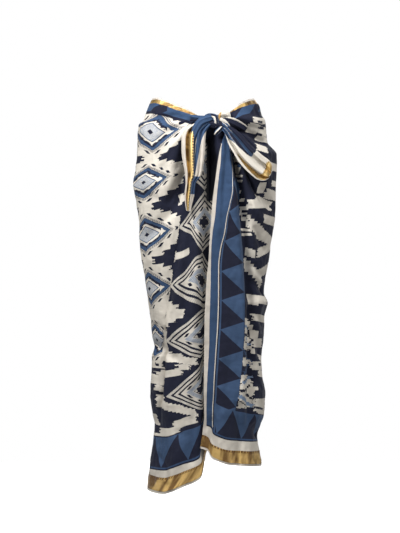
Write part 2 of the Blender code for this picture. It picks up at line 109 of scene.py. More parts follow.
HEART, HEART_RINGS, CORE = (30, 22), (1.08, 1.0, 0.95), (6.5, 6)  # the plain lozenges' middle
RINGED_CORE, CORE_STEP = (22, 18), 7  # the ringed lozenges' middle
DOTS, LEAF = 6, 8  # the lozenges' woven dots and leaves
# The voile: its threads' step and depth, its crumples' scale, detail and depth, and its surface.
THREAD, THREAD_DEPTH, CRUMPLES = 0.9, 0.05, (0.05, 4, 2.2)
CLOTH_ROUGHNESS, CLOTH_SHEEN, SPECULAR = 0.8, 0.04, 0.16
# Its uneven colour: the streaks' scale along and across a thread, the dye's clouds as scale and detail, and
# for each kind the strength and the darkest.
RUN, THIN, CLOUDS = 0.05, 1.6, (0.035, 3)
DYE, SLUB, WARP, CREAM_SLUB = (0.30, 0.85), (0.22, 0.89), (0.16, 0.92), (0.24, 0.88)
# The gold ribbon in the same way, with darker streaks at random along it: their scale both ways, detail,
# level and contrast.
GOLD_THREADS, GOLD_DEPTH, GOLD_CRUMPLES = (1.8, 1.4), 0.10, (0.08, 3, 1.6)
GOLD_ROUGHNESS, GOLD_METAL, GOLD_THREAD_LOOK = 0.38, 0.65, (0.25, 0.80)
STREAK_RUN, STREAK_THIN, STREAK_DETAIL, STREAK_FROM, STREAK_RATE = 0.030, 0.008, 3, 0.41, 7.0
# Its stitches and the line under them: from and to, how far apart and how long.
STITCHES, STITCH_LINE, STITCH_STEP, STITCH_LENGTH = (37.0, 42.5), (35.6, 36.4), 7.6, 4.0
# Linear colours.
CREAM = (0.56, 0.52, 0.455)
SELVAGE = (0.50, 0.455, 0.40)
NAVY = (0.0072, 0.0088, 0.0215)
BLUE = (0.028, 0.056, 0.116)
LIGHT_BLUE = (0.036, 0.067, 0.132)
PALE_BLUE = (0.16, 0.225, 0.33)
SHADES = {"cream": CREAM, "navy": NAVY, "blue": BLUE, "pale": PALE_BLUE}
# The lines along the free edge and along the hem: colour, from and to.
EDGE_LINES = ((LIGHT_BLUE, 57, 62), (NAVY, 54, 58), (CREAM, 52, 55), (BLUE, 10, 52))
HEM_LINES = ((BLUE, 69, 73.5), (NAVY, 65.5, 69.5))
KNOT_GOLD = (0.42, 0.26, 0.10)
# The last gold is a painted highlight, laid over the tails' ribbons.
GOLD, DARK_GOLD, PAINTED_HIGHLIGHT_GOLD = (0.52, 0.345, 0.125), (0.14, 0.078, 0.028), (0.90, 0.66, 0.28)
STITCH = (0.09, 0.040, 0.016)
# Where across the tails' ribbons the painted highlight of bright gold sets in and is full, and how strong it
# is.
TAIL_SHINE = {"left": (0.42, 0.72, 0.9), "right": (-0.6, 1.4, 0.9)}

# Smaller creases, laid over the folds: panel, depth, half width, and points as across and height.
FRONT_CREASES = (
    ("under", -46, 13, ((9, -50), (13, -90), (17, -140), (17, -200), (14, -270))),
    ("under", -9, 7, ((-36, -80), (-60, -150), (-84, -204), (-106, -252))),
    ("over", -10, 6, ((64, -48), (84, -92), (106, -140), (128, -190), (150, -246))),
    ("over", 6, 8, ((74, -52), (98, -96), (122, -144), (146, -196))),
    ("over", -8, 6, ((72, -40), (100, -70), (130, -110), (156, -150))),
    ("over", -16, 9, ((74, -96), (80, -140), (90, -190), (98, -240), (104, -300))),
    ("under", -5, 7, ((-10, -30), (-34, -62), (-62, -110), (-84, -170))),
    ("under", 4, 8, ((-18, -26), (-52, -58), (-92, -96), (-128, -150))),
    ("under", -4, 8, ((-20, -20), (-66, -40), (-116, -66), (-160, -92))),
    ("under", 3, 7, ((-24, -16), (-80, -30), (-140, -46))),
    ("under", -3, 6, ((-60, -8), (-110, -12), (-150, -14))),
    ("under", -7, 4, ((-107, -560), (-112, -600), (-115, -660), (-118, -720), (-123, -760), (-127, -800))),
    ("under", 4, 8, ((-97, -540), (-102, -600), (-105, -660), (-108, -720), (-113, -780), (-117, -830))),
    ("under", -3, 8, ((-160, -150), (-130, -170), (-104, -178))),
    ("under", -3, 10, ((-175, -210), (-148, -226), (-120, -232))),
    ("under", -4, 9, ((-104, -300), (-120, -380), (-128, -470))),
    ("under", -4, 9, ((-36, -250), (-44, -340), (-52, -430), (-60, -560))),
    ("under", 4, 10, ((-20, -300), (-26, -420), (-36, -560), (-40, -680))),
    ("under", -4, 8, ((-118, -640), (-122, -740), (-126, -840))),
    ("under", -4, 8, ((-58, -700), (-66, -800), (-74, -900))),
    ("under", -3, 9, ((-150, -740), (-128, -752), (-104, -756))),
    ("under", -3, 8, ((-140, -560), (-122, -572), (-100, -590))),
    ("under", -4, 8, ((-134, -905), (-110, -930), (-96, -990))),
    ("over", -4, 7, ((54, -60), (56, -100), (54, -160), (50, -240))),
    ("over", 3, 7, ((46, -70), (44, -130), (38, -220), (34, -340))),
    ("over", -4, 7, ((74, -58), (104, -96), (138, -140), (170, -178))),
    ("over", 4, 8, ((78, -48), (114, -76), (150, -112), (176, -140))),
    ("over", -4, 7, ((78, -30), (120, -40), (156, -52))),
    ("over", -4, 9, ((120, -190), (146, -226), (166, -250))),
    ("over", 4, 9, ((112, -230), (134, -270), (158, -300))),
    ("over", -4, 8, ((126, -300), (146, -340), (160, -372))),
    ("over", -4, 8, ((124, -400), (140, -424), (156, -440))),
    ("over", -4, 9, ((128, -520), (142, -548), (152, -566))),
    ("over", -3, 9, ((126, -700), (140, -720), (152, -735))),
    ("over", -3, 8, ((60, -640), (62, -760), (64, -850))),
    ("over", -2, 6, ((30, -560), (32, -660), (30, -760))),
    ("over", -3, 8, ((104, -620), (104, -720), (103, -800))),
    ("over", 3, 7, ((34, -840), (35, -890), (37, -940))),
)
BACK_CREASES = (
    (-4, 9, ((122, 12), (124, -90), (127, -200))),
    (-4, 8, ((152, -4), (154, -120), (157, -260))),
    (-4, 8, ((176, -14), (174, -120), (170, -220))),
    (-4, 9, ((196, -14), (196, -110), (193, -250))),
    (-4, 8, ((218, -4), (214, -90), (212, -180))),
    (-4, 9, ((240, 10), (237, -120), (234, -260))),
    (-4, 9, ((262, 18), (258, -100), (256, -220))),
    (4, 10, ((130, -260), (136, -420), (134, -620))),
    (-4, 10, ((172, -560), (176, -720), (174, -900))),
    (-4, 10, ((212, -520), (212, -700), (210, -940))),
    (-4, 10, ((234, -640), (232, -800), (231, -960))),
    (-4, 10, ((156, -620), (157, -780), (157, -950))),
    (-3, 10, ((100, -420), (118, -470), (140, -490))),
    (-3, 10, ((256, -400), (240, -450), (222, -470))),
    (4, 10, ((116, -720), (118, -840), (117, -950))),
    (-4, 10, ((272, -260), (270, -420), (272, -560))),
)

# Landmarks of the print: across and down in the photograph's pixels, the flat cloth's distance round, and its
# height above the hem. None where only one of the two is known.
PHOTO_MIDDLE, PHOTO_SCALE = (205, 112), 2.65
UNDER_PLACES = (
    (150.3, 130.8, 0, 992), (144, 184, 0, 844), (143.3, 235.6, 0, 696), (150.7, 288.2, 0, 548),
    (158.8, 338.8, 0, 400), (182.6, 132.9, 60, 992), (166.5, 175.6, 60, 848), (170, 227.2, 60, 700),
    (144.4, 166.5, 0, 890), (144.4, 218.8, 0, 742), (148.2, 272.7, 0, 594),
    (154.4, 323.4, 0, 446), (142.6, 200, 0, 798), (144, 253.5, 0, 650), (154.4, 306.7, 0, 502),
    (180.1, 225.8, 100, 696), (171.7, 283.3, 100, 548), (165.5, 341.9, 100, 400), (174.5, 394.8, 100, 252),
    (203, 191, 200, 770), (203, 251, 200, 622), (200.6, 311.4, 200, 474), (204, 358, 200, 326),
    (156, 156, 12, 918), (153.1, 206.8, 12, 770), (157, 260.5, 12, 622), (182, 253.6, 120, 624),
    (190, 312, 170, 474), (196.6, 361.3, 180, 326), (177.9, 367.7, 140, 320), (197.6, 411, 174, 178),
    (186.9, 417.1, 140, 172), (165.8, 313.4, 88, 474),
    (191.6, 208.4, 150, 733), (191.6, 238.4, 150, 659), (187.4, 267, 150, 585), (186.2, 297.4, 150, 511),
    (183, 326.6, 150, 437), (184.7, 350, 150, 363), (189.2, 376.4, 150, 289), (186, 403, 150, 215),
    (154, 438.3, 33, 152), (173.8, 436.5, 99, 152), (181.5, 433.8, None, 152), (198.3, 427, None, 152),
    (164.8, 463.5, 66, 73), (191, 455.5, 132, 73),
    (150, 466, None, 71), (177.5, 464, None, 71), (201.6, 452.6, None, 71),
    (148, 477.7, None, 42), (172, 476.4, None, 42), (201, 464, None, 42),
)
# How much of the under panel's cloth there is between the hem and the folded waist edge, by angle; how far
# down the places are counted from the waist and not from the hem; and where its first lozenge lies round the
# side.
UNDER_CLOTH = (
    (-180, 1000), (-120, 1040), (-90, 1056), (-50, 1046), (-22, 1012), (-3, 966), (30, 950), (180, 1000),
)
FROM_WAIST = (0.85, 0.45)
LEFT_OF_MIDDLE = 28.0
# The pleat on the under panel: down, where across, and how much of the cloth it hides.
PLEAT = (
    (120, 196, 0), (175, 186, 0), (205, 182, 4), (225.8, 179.2, 14), (253, 175.5, 28), (283, 171.0, 40),
    (312, 166.5, 52), (330, 164.5, 60), (352, 162.5, 62), (374, 160.8, 58), (394, 158.4, 50), (410, 157, 30),
    (436, 156, 0), (500, 155, 0),
)
OVER_PLACES = (
    (246, 245, 75, None), (263, 245, 140, 622), (271, 241, 172, 626), (233.2, 409.4, 33, 150),
    (241.2, 437.2, 66, 73), (254.6, 414.4, 99, 148), (216.1, 430.2, 0, 75), (230, 436.5, None, 71),
    (258.6, 437.9, None, 71), (211, 426, None, 72), (264, 417.8, None, 150), (237, 450, None, 42),
    (260, 449, None, 42), (206.7, 434, None, 42),
)
# The print at the foot of the under panel, patch by patch in runs of one colour: the two ends of each, as
# across and down in the photograph's pixels, and its half height.
UNDER_PATCHES = (
    ("cream", ((161, 353, 183, 357, 4.5), (178, 359, 197, 361, 4), (176, 367, 190, 366, 3),
        (160, 373, 182, 371, 3.5), (150, 361, 163, 362, 7), (149, 377, 166, 379, 6),
        (155, 387, 165, 389, 3))),
    ("navy", ((162, 365, 173, 365.5, 2.3), (169, 366, 179, 366.5, 1.2), (152, 371, 157, 374, 1.3),
        (155, 363, 159, 365, 1.3))),
    ("cream", ((156, 400, 165, 401, 6), (163, 402, 183, 408, 4.5), (179, 409, 197, 412, 4.5),
        (174, 425, 197, 418, 4.5), (160, 431, 180, 427, 3.5), (152, 435.5, 174, 434, 2.5),
        (151, 418, 159, 420, 4.5))),
)
# The same beside the over panel's band.
OVER_PATCHES = (
    ("cream", ((253, 120, 267, 119, 3.5), (247, 128, 269, 131, 5), (256, 138, 269, 140, 3))),
    ("navy", ((258, 121.5, 263, 122, 1.5), (259, 127, 264, 128, 1.5), (256, 134, 262, 135, 1.3))),
    ("cream", ((256, 147, 268, 150, 4.5), (270, 166, 280, 169, 4), (272, 183, 280, 184, 3),
        (257.5, 188, 265, 188, 5.5), (265, 193, 277, 197, 5), (246, 204, 264, 203, 4.5),
        (256, 200, 270, 206, 5), (264, 218, 276, 222, 4.5), (248, 223, 263, 235, 5.5),
        (256, 233, 271, 244, 5.5), (271, 245, 257, 253, 4.5), (245, 251, 255, 254, 4),
        (243, 262, 261, 285, 5.5), (257, 274, 268, 267, 5), (247, 298, 258, 300, 5.5),
        (256, 299, 267, 301, 4.5), (252, 316.5, 265, 320, 3.5), (248.4, 326.5, 252.5, 327.5, 2.5),
        (249.3, 333, 258, 335, 4.2), (252.5, 342, 261.8, 343.5, 4.6), (251, 350, 255, 351, 2.8),
        (251, 366, 263, 366, 4.5), (258, 357, 264, 359, 3), (253.5, 388.5, 258, 388.5, 2),
        (254, 404, 265, 404, 7), (257, 415, 264, 414, 5))),
    ("navy", ((258.5, 364.6, 261, 364.6, 1.5), (250, 240, 254, 241, 1.5), (250, 340.5, 253.5, 340.5, 1.2))),
    ("cream", ((233, 159, 239, 160.5, 3), (234, 169, 240, 171, 4), (235, 176.5, 242, 177, 1.2),
        (235.5, 181, 242, 181.5, 1.2), (236.5, 198, 248.5, 224, 1.8), (239, 196, 250.5, 221, 1.8),
        (239, 210, 247, 222, 4), (241, 230, 251, 230, 1.2), (241, 234.5, 251, 234.5, 1.3))),
    ("blue", ((237, 166, 240, 167, 1.2),)),
    ("navy", ((242, 215, 246, 218, 1.2),)),
    ("cream", ((243.5, 326, 248, 327, 8.5),)),
    ("pale", ((244.5, 325, 247.5, 328, 1.5),)),
    ("navy", ((243.5, 333.8, 247, 334.2, 0.9),)),
    ("cream", ((243, 342.5, 250.3, 344, 7),)),
    ("pale", ((245.5, 337.5, 250, 345, 1.5),)),
    ("navy", ((245, 340.5, 250.3, 349.8, 0.6),)),
    ("blue", ((242.5, 350.5, 250.8, 361, 2.4), (250.8, 363, 242, 374, 2.4))),
    ("navy", ((242.5, 352.5, 249, 361, 0.6),)),
    ("cream", ((242.5, 360.8, 246, 361.2, 4.6), (245.5, 361.3, 248.6, 361.6, 2.2),
        (240, 382, 247, 382, 8.0), (246.5, 384, 252.4, 384, 9.0), (238, 398.5, 246, 398.5, 9.5),
        (245.5, 400, 253.8, 400, 8.5))),
    ("navy", ((243, 380.4, 251.6, 374.8, 0.6),)),
    ("pale", ((241.5, 383.2, 251.8, 376.6, 1.8),)),
    ("navy", ((240, 390.2, 244.8, 390.2, 1.3), (245.2, 389, 250, 385.6, 1.3),
        (245.6, 390.4, 253, 397.6, 1.3), (245.3, 394.4, 248.5, 394.8, 1.2))),
    ("pale", ((239, 395.8, 253.4, 405.8, 2.2),)),
    ("navy", ((238.5, 400.4, 250.5, 408, 0.7),)),
    ("cream", ((258.5, 373, 262, 375, 3.5),)),
    ("navy", ((255, 407, 263, 409, 1.3),)),
)
# The band along the over panel's free edge: down, and where across the selvage, the plain part and the
# triangles end, in the photograph's pixels.
BAND_LINES = (
    (120, 226, 228, 229), (133, 224.5, 226, 227), (140, 222, 228, 229.5), (150, 221, 230, 232),
    (160, 220.7, 231.5, 234), (175, 219, 232.5, 236), (190, 217.3, 232.4, 240), (205, 216, 229.5, 240),
    (218, 214.8, 226.5, 240), (233, 212.4, 224.2, 241), (250, 211.2, 220, 243), (267, 210.9, 218.2, 244),
    (300, 210.3, 218, 245.2), (328, 209.3, 217, 244.8), (342, 209.3, 216, 244), (363, 208.2, 214.6, 242.8),
    (380, 207.3, 213.6, 240.6), (395, 206.7, 213, 238.9), (407, 206.5, 212.2, 236),
    (440, 206.5, 212.0, 233), (465, 206.5, 212.0, 233),
)
# The points of the band's triangles, down.
BAND_APEXES = (211.7, 241, 271, 300, 329.1, 357.9, 385.2)
# The outline of the worn cloth: height, left, right, front and back.
OUTLINE = (
    (60, -134, 127, -80, 84),
    (38, -141, 133, -84, 90),
    (15, -150, 146, -91, 99),
    (-8, -158, 152, -97, 108),
    (-20, -162, 160, -100, 112),
    (-33, -176, 161, -103, 117),
    (-80, -181, 167, -111, 126),
    (-92, -181, 176, -113, 128),
    (-112, -181, 190, -115, 131),
    (-150, -184, 191, -117, 134),
    (-190, -190, 189, -118, 136),
    (-240, -182, 188, -118, 134),
    (-300, -177, 182, -116, 128),
    (-382, -170, 170, -111, 119),
    (-445, -161, 160, -107, 113),
    (-480, -155, 156, -105, 111),
    (-506, -151, 165, -104, 110),
    (-540, -147, 157, -103, 109),
    (-590, -140, 155, -102, 108),
    (-620, -135, 153, -101, 108),
    (-650, -143, 151, -101, 108),
    (-700, -146, 151, -102, 109),
    (-745, -149, 159, -104, 110),
    (-795, -141, 156, -104, 111),
    (-828, -134, 148, -103, 111),
    (-860, -137, 141, -103, 112),
    (-905, -143, 146, -105, 114),
    (-940, -148, 152, -107, 116),
    (-1015, -156, 158, -110, 118),
)

# The folded waist edge, the border that stands above it, and the hem of each panel: angle and height.
WAIST_EDGE = (
    (-180, -20), (-150, -8), (-120, 14), (-92, 24), (-64, 24), (-45, 17), (-30, 5), (-17, -5), (-1, -17),
    (12, -14), (25, -4), (39, 12), (61, 21), (92, 24), (120, 14), (150, -8), (180, -20),
)
UPSTAND = (
    (-180, 15), (-64, 15), (-27, 14), (-12, 9), (-1, 2), (12, 2), (25, 3), (31, 8), (40, 12), (61, 15),
    (180, 15),
)
UNDER_HEM = (
    (-180, -905), (-150, -925), (-120, -968), (-95, -994), (-70, -1005), (-44, -1010), (-34, -1004),
    (-22, -990), (-5, -967), (1, -900), (7, -884), (30, -880),
)
OVER_HEM = (
    (-10, -886), (-5, -888), (1, -893), (3, -897), (6, -912), (9, -918), (24, -932), (60, -938), (90, -938),
    (130, -925), (180, -905),
)

# The free edges at the front: height and how far across. The under panel's goes further behind the over panel
# than its solid does, to close the slit.
OVER_EDGE = (
    (0, 56), (-22, 56), (-42, 56), (-61, 50), (-82, 43), (-114, 36), (-154, 30), (-193, 25), (-233, 20),
    (-286, 16), (-339, 12), (-392, 9), (-445, 4), (-498, 1), (-550, -1), (-750, -3), (-800, -2), (-840, -6),
    (-888, -13),
)
UNDER_EDGE = (
    (0, 30), (-45, 60), (-61, 57), (-82, 51), (-114, 46), (-154, 44), (-193, 46), (-273, 60), (-380, 76),
    (-600, 80), (-1000, 78),
)
# Near the hem the under panel turns back at the front: how deep, from what height, and where across it goes
# in and comes out again.
TURN_DEPTH, TURN_TOP, TURN_FULL = 34, -740, -880
TURN_IN, TURN_OUT = (-11, 6), (100, 60)

# The largest folds at the front: the panel, the depth (negative goes in), the half width, and the points that
# the fold runs through, as across and height.
FRONT_FOLDS = (
    ("under", -34, 26, ((10, -95), (16, -150), (17, -260), (16, -420), (14, -600), (16, -780), (22, -1000))),
    ("under", -24, 17, ((-22, -34), (-38, -80), (-51, -133), (-66, -193), (-88, -262))),
    ("under", 8, 20, ((-50, -42), (-78, -101), (-94, -167), (-112, -246))),
    ("under", -7, 12, ((-64, -280), (-77, -366), (-93, -453), (-109, -591), (-119, -737), (-125, -869))),
    ("under", 5, 14, ((-44, -280), (-55, -366), (-69, -453), (-84, -591), (-94, -737), (-101, -869))),
    ("under", -10, 18, ((-40, -201), (-87, -258), (-132, -307), (-163, -352))),
    ("under", -9, 14, ((-146, -618), (-111, -631), (-72, -663))),
    ("under", -6, 10, ((-140, -26), (-80, -21), (-24, -24))),
    ("under", 9, 18, ((-60, -850), (-80, -930), (-96, -1010))),
    ("under", -8, 13, ((-28, -700), (-34, -830), (-38, -960))),
    ("over", -22, 14, ((80, -74), (88, -140), (97, -220), (103, -299), (109, -379), (117, -472), (122, -578),
                       (122, -684), (119, -790), (112, -856))),
    ("over", 7, 15, ((60, -80), (68, -150), (78, -240), (84, -330), (90, -420), (98, -520), (99, -700),
                     (94, -830))),
    ("over", -14, 12, ((66, -26), (101, -48), (135, -69), (168, -90))),
    ("over", 9, 15, ((72, -12), (108, -24), (146, -40))),
    ("over", -12, 14, ((100, -138), (132, -188), (160, -225), (180, -262))),
    ("over", 8, 18, ((96, -96), (136, -130), (170, -165))),
    ("over", -8, 12, ((122, -446), (144, -464), (156, -476))),
    ("over", -7, 14, ((126, -566), (138, -610), (148, -655))),
    ("over", -9, 14, ((122, -826), (136, -846), (142, -862))),
    ("over", -7, 15, ((112, -262), (140, -330), (155, -392))),
    ("over", -5, 8, ((17, -800), (17, -860), (18, -940))),
    ("over", 5, 14, ((46, -780), (50, -850), (54, -950))),
    ("over", -7, 13, ((88, -760), (90, -840), (92, -950))),
)
# The same at the sides and back: depth, half width, and points as angle and height.
BACK_FOLDS = (
    (-9, 20, ((108, 10), (112, -180), (116, -420), (112, -640))),
    (-12, 22, ((136, 6), (142, -140), (146, -330), (150, -560), (148, -960))),
    (-8, 17, ((164, -20), (162, -240), (166, -470))),
    (-13, 24, ((186, -12), (184, -200), (181, -440), (184, -700), (188, -970))),
    (-8, 18, ((208, -10), (206, -170), (202, -380))),
    (-12, 22, ((228, 4), (224, -210), (220, -470), (222, -760), (218, -980))),
    (-9, 19, ((252, 10), (248, -160), (244, -360), (246, -560))),
    (8, 24, ((124, -300), (128, -560), (126, -960))),
    (9, 26, ((168, -460), (168, -700), (166, -960))),
    (9, 24, ((204, -480), (204, -740), (204, -960))),
    (8, 24, ((240, -440), (242, -700), (244, -990))),
    (-9, 18, ((262, -560), (262, -760), (260, -1000))),
    (-9, 18, ((108, -700), (106, -820), (104, -960))),
)

# The two halves of the waist border, each with its ribbon: first and last angle.
BORDERS = (("right", 25, 180), ("left", 180, 359))

# The tails, a row for each place from the knot to the tip: the first and last edge as across and height, how
# far the tail stands off the body, and the share of the pleats' depth. The right one starts at its lower
# edge.
LEFT_TAIL = (
    (4, -18, 24, -30, 12, 0.0),
    (-13, -26, 17, -36, 13, 0.4),
    (-38, -38, 9, -46, 12, 0.8),
    (-57, -54, 3, -57, 11, 1.0),
    (-63, -78, 1, -78, 11, 1.0),
    (-63, -107, 0, -107, 11, 1.0),
    (-59, -137, -4, -140, 11, 1.0),
    (-54, -166, -9, -168, 11, 0.9),
    (-52, -192, -25, -192, 11, 0.7),
    (-55, -221, -29, -225, 11, 0.6),
    (-53, -246, -35, -249, 10, 0.3),
    (-50, -263, -38, -265, 9, 0.05),
)
RIGHT_TAIL = (
    (36, -44, 50, -30, 12, 0.0),
    (54, -60, 64, -38, 19, 0.5),
    (64, -88, 85, -50, 22, 0.8),
    (77, -111, 104, -67, 23, 1.0),
    (91, -134, 120, -84, 23, 1.0),
    (108, -153, 139, -103, 23, 1.0),
    (127, -170, 158, -119, 23, 1.0),
    (143, -181, 172, -129, 24, 1.0),
    (159, -184, 180, -141, 27, 0.9),
    (172, -179, 183, -157, 28, 0.6),
)
# The pleats across each tail: share of the width, and how far out of the middle.
LEFT_PLEATS = (
    (0, -1), (0.09, 5), (0.16, 3), (0.28, -7), (0.42, 5), (0.50, 3), (0.58, -5), (0.70, 6), (0.80, -2),
    (0.90, 5), (1, -1),
)
RIGHT_PLEATS = (
    (0, 3), (0.06, 4), (0.18, -7), (0.33, 7), (0.48, 2), (0.64, -5), (0.80, 4), (0.92, 2), (1, -4),
)
TAIL_STEPS, TAIL_COLUMNS = 14, 72
FINE_PLEAT, FINE_PLEATS, FINE_SWAY = 0.5, 47, 0.3  # depth, how close they lie, and how they wander
TAIL_PRINT = 200  # the height above the hem of the print on the tails
TAIL_BAND = 30  # the phase of the band on them
# The left tail's ribbon: its rings, at two for each row, and its columns.
LEFT_GOLD_RINGS, LEFT_GOLD_COLUMNS = (4, 22), (12, 37)
TAIL_RIBBON_START = 640.0
# The right tail's ribbon: its outer and inner edge, each as the shares along and across the tail.
RIGHT_GOLD = (
    (0.38, 0.15, 0.39, 0.19), (0.50, 0.11, 0.50, 0.23), (0.62, 0.08, 0.60, 0.24), (0.74, 0.06, 0.69, 0.23),
    (0.86, 0.05, 0.76, 0.22), (0.96, 0.10, 0.79, 0.28), (0.98, 0.30, 0.81, 0.38), (0.98, 0.60, 0.80, 0.60),
    (0.965, 0.85, 0.77, 0.82), (0.92, 0.985, 0.79, 0.97),
)
RIGHT_GOLD_STEPS, RIGHT_GOLD_COLUMNS = 12, 13
# The left tail's print: share of the print across it, then height above the hem and distance from the edge;
# and where the blue part of it starts and stops across, by the share along.
LEFT_PRINT = (
    (0, 3, 999), (0.17, 8, 999), (0.54, 60, 999), (0.56, 200, 57), (0.62, 200, 54.5), (0.64, 200, 50),
    (0.79, 200, 12), (0.81, 200, 9), (1, 200, 2),
)
LEFT_BLUE = (
    (0, 0.40, 1.1), (0.22, 0.46, 1.02), (0.36, 0.52, 0.84), (0.56, 0.50, 0.66), (0.7, 0.50, 0.55),
    (1, 0.5, 0.54),
)
LEFT_BLUE_PRINT, LEFT_PRINT_END = (0.55, 0.80), 1.3  # the part of the print that is blue
LEFT_PATCH, LEFT_PATCH_EDGE = (0.66, 0.80, 0.60), 30  # a blue patch: from and to along, and from across
# The right tail's print: from where across it is blue, by the share along, and its streaks across.
RIGHT_BLUE = ((0, -0.2), (0.14, 0.05), (0.26, 0.36), (0.42, 0.50), (0.54, 0.60), (0.58, 1.3), (1, 1.3))
RIGHT_STREAKS = (
    (0, 30), (0.38, 35), (0.44, 56), (0.58, 56), (0.62, 59.5), (0.72, 60.5), (0.76, 57), (1, 55.5),
)
RIGHT_PLAIN = 40  # the height above the hem of the cream on it

# The waist border: rings above the fold, rings of its selvage, rings behind the wrap, and its lean outwards.
BORDER_STEPS, BORDER_SELVAGE_STEPS, BORDER_REACH, BORDER_LEAN = 12, 4, 10, 0.025
BORDER_DROP = 20  # how far above the fold it leans no further

STRAND_SIDES, STRAND_RINGS = 64, 70
STRAND_TIP, STRAND_BLUNT = 0.4, 0.4  # how thick a strand's ends are, and how soon it is full
STRAND_PLEATS = ((0.10, 1, 0), (0.05, 2.3, 1))  # depth, number beside the strand's own, and turn
STRAND_PRINT, STRAND_SWIRL = 60, 0.15  # millimetres of print along a strand, and its slant
GOLD_FOLD = -50.0  # the place below the fold that stands for the ribbon's colour
# What a strand shows of the print: height above the hem, distance from the edge, and place below the fold.
PLAIN_BLUE = ((160, 160), (14, 48), FAR_OFF)
DEEP_NAVY = ((160, 160), (55, 57), FAR_OFF)
DASHED = ((160, 160), (50.5, 59), FAR_OFF)
STRIPED = ((160, 160), (30, 64), FAR_OFF)
PLAIN_CREAM = ((46, 60), (FAR_OFF, FAR_OFF), FAR_OFF)
GOLD_BIT = ((160, 160), (FAR_OFF, FAR_OFF), GOLD_FOLD)
# The knot's strands: half width, half depth, pleats round, twist, look, and points as the photograph's pixels
# across and down and millimetres out from the body.
KNOT_STRANDS = (
    (6, 5, 5, 0.5, PLAIN_BLUE, ((190, 117.2, 2), (201, 118.8, 4), (212, 119, 8), (221, 117.5, 9))),
    (5, 4, 4, 0.6, DEEP_NAVY, ((190, 121, 1), (202, 122, 3), (213, 122.5, 7), (221, 122, 8))),
    (10, 6, 6, 0.3, PLAIN_BLUE, ((217, 117.5, 8), (209, 119.5, 14), (201, 123, 16), (196, 130, 14),
                                 (193, 140, 9))),
    (10, 7, 4, 0.6, DEEP_NAVY, ((207, 124, 4), (213, 125, 10), (220, 126, 12), (228, 128, 8))),
    (7, 6, 5, 0.7, DASHED, ((205, 117.8, 5), (210, 116.8, 10), (215, 118, 15), (216.5, 122, 16),
                            (217, 128, 12))),
    (3, 4, 3, 0.4, GOLD_BIT, ((219.5, 121.5, 13), (219.8, 117, 15), (221, 114.6, 12), (222.5, 113.6, 7))),
    (8, 7, 4, 0.7, PLAIN_CREAM, ((221, 117.5, 9), (224, 115.2, 12), (227.5, 116, 9), (229, 119, 4))),
    (5, 4, 3, 0.6, PLAIN_CREAM, ((220, 120, 13), (223.5, 121.5, 17), (227, 124.5, 16), (230, 129, 9))),
    (9, 6, 5, 0.5, DEEP_NAVY, ((222, 121, 10), (230, 123, 10), (238, 126, 7), (246, 130, 3))),
    (3, 3, 3, 0.5, PLAIN_CREAM, ((226, 118.5, 11), (234, 120, 10), (241, 123.5, 6), (247, 127.5, 3))),
    (6, 5, 4, 0.6, DASHED, ((223, 126, 13), (220.5, 130, 14), (217.5, 133, 11), (215, 136, 5))),
    (8, 6, 5, 0.5, STRIPED, ((221, 123.5, 11), (226, 127, 15), (231, 133, 14), (236, 139, 9))),
)

# The square for baking: its margin, the skins' width and height, where the inner skin starts, the rim's two
# sides and the share of its squares that is used; then a strand's foot and height, and its ends.
MAP_MARGIN, MAP_SKIN, MAP_HEIGHT, MAP_INNER = 0.005, 0.46, 0.99, 0.475
RIM_SIDES, RIM_SHARE = (0.955, 0.985), 0.9
STRAND_FOOT, STRAND_HEIGHT, END_PLACES, END_SIZE = 0.12, 0.875, (0.03, 0.085), (0.4, 0.022)

CAMERA_AIM, CAMERA_AWAY, SEEN_HEIGHT, SENSOR = (-0.01325, -0.04, -0.4094), 9.0, 1.4125, 36
FLOOR_RADIUS, FLOOR_SIDES, FLOOR_HEIGHT = 1.8, 96, -1.03
FLOOR_GREY, FLOOR_GLOW, FLOOR_ROUGHNESS = 0.75, 0.95, 0.9
WORLD_LIGHT, WHITE = 0.12, (1, 1, 1, 1)
# Each light's place, size and power.
LIGHTS = (
    ("key", (-1.0, -1.15, 0.85), 0.5, 43),
    ("top", (0.2, -0.9, 1.35), 1.0, 34),
    ("fill", (2.1, -1.5, 0.45), 1.2, 26),
    ("behind", (0.5, 2.6, 0.5), 2.4, 60),
)


def smooth_curve(points):
    """A function through (place, value) pairs with smooth joins that don't overshoot."""
    places, values = np.array(sorted(points), float).T
    spans = np.diff(places)
    rises = np.diff(values) / spans
    slopes = np.concatenate([rises[:1], np.zeros(len(rises) - 1), rises[-1:]])
    same_way = np.flatnonzero(rises[:-1] * rises[1:] > 0)
    slopes[same_way + 1] = 2 / (1 / rises[same_way] + 1 / rises[same_way + 1])

    def value_at(at):
        at = np.clip(np.asarray(at, float), places[0], places[-1])
        i = np.clip(np.searchsorted(places, at) - 1, 0, len(spans) - 1)
        t = (at - places[i]) / spans[i]
        blend = t * t * (3 - 2 * t)
        start = slopes[i] * spans[i] * t * (1 - t) ** 2
        end = slopes[i + 1] * spans[i] * t * t * (t - 1)
        return values[i] + (values[i + 1] - values[i]) * blend + start + end

    return value_at


def curves(rows):
    """A smooth curve for each further column of a table, along its first column."""
    first, *others = zip(*rows)
    return [smooth_curve(list(zip(first, column))) for column in others]


def between_rows(rows, at):
    """A table's columns at places between its rows, counted from 0."""
    return [curve(at) for curve in curves([(i, *row) for i, row in enumerate(rows)])]


def places_between(rows, steps):
    """Places along a table's rows, counted from 0, with this many steps from one row to the next."""
    last = len(rows) - 1
    return np.linspace(0, last, steps * last + 1)


def unit(vectors):
    """The same directions, with a length of 1."""
    return vectors / np.linalg.norm(vectors, axis=-1, keepdims=True)


def ease(low, high, at):
    """0 at low, 1 at high, and a smooth change between."""
    t = np.clip((np.asarray(at, float) - low) / (high - low), 0, 1)
    return t * t * (3 - 2 * t)


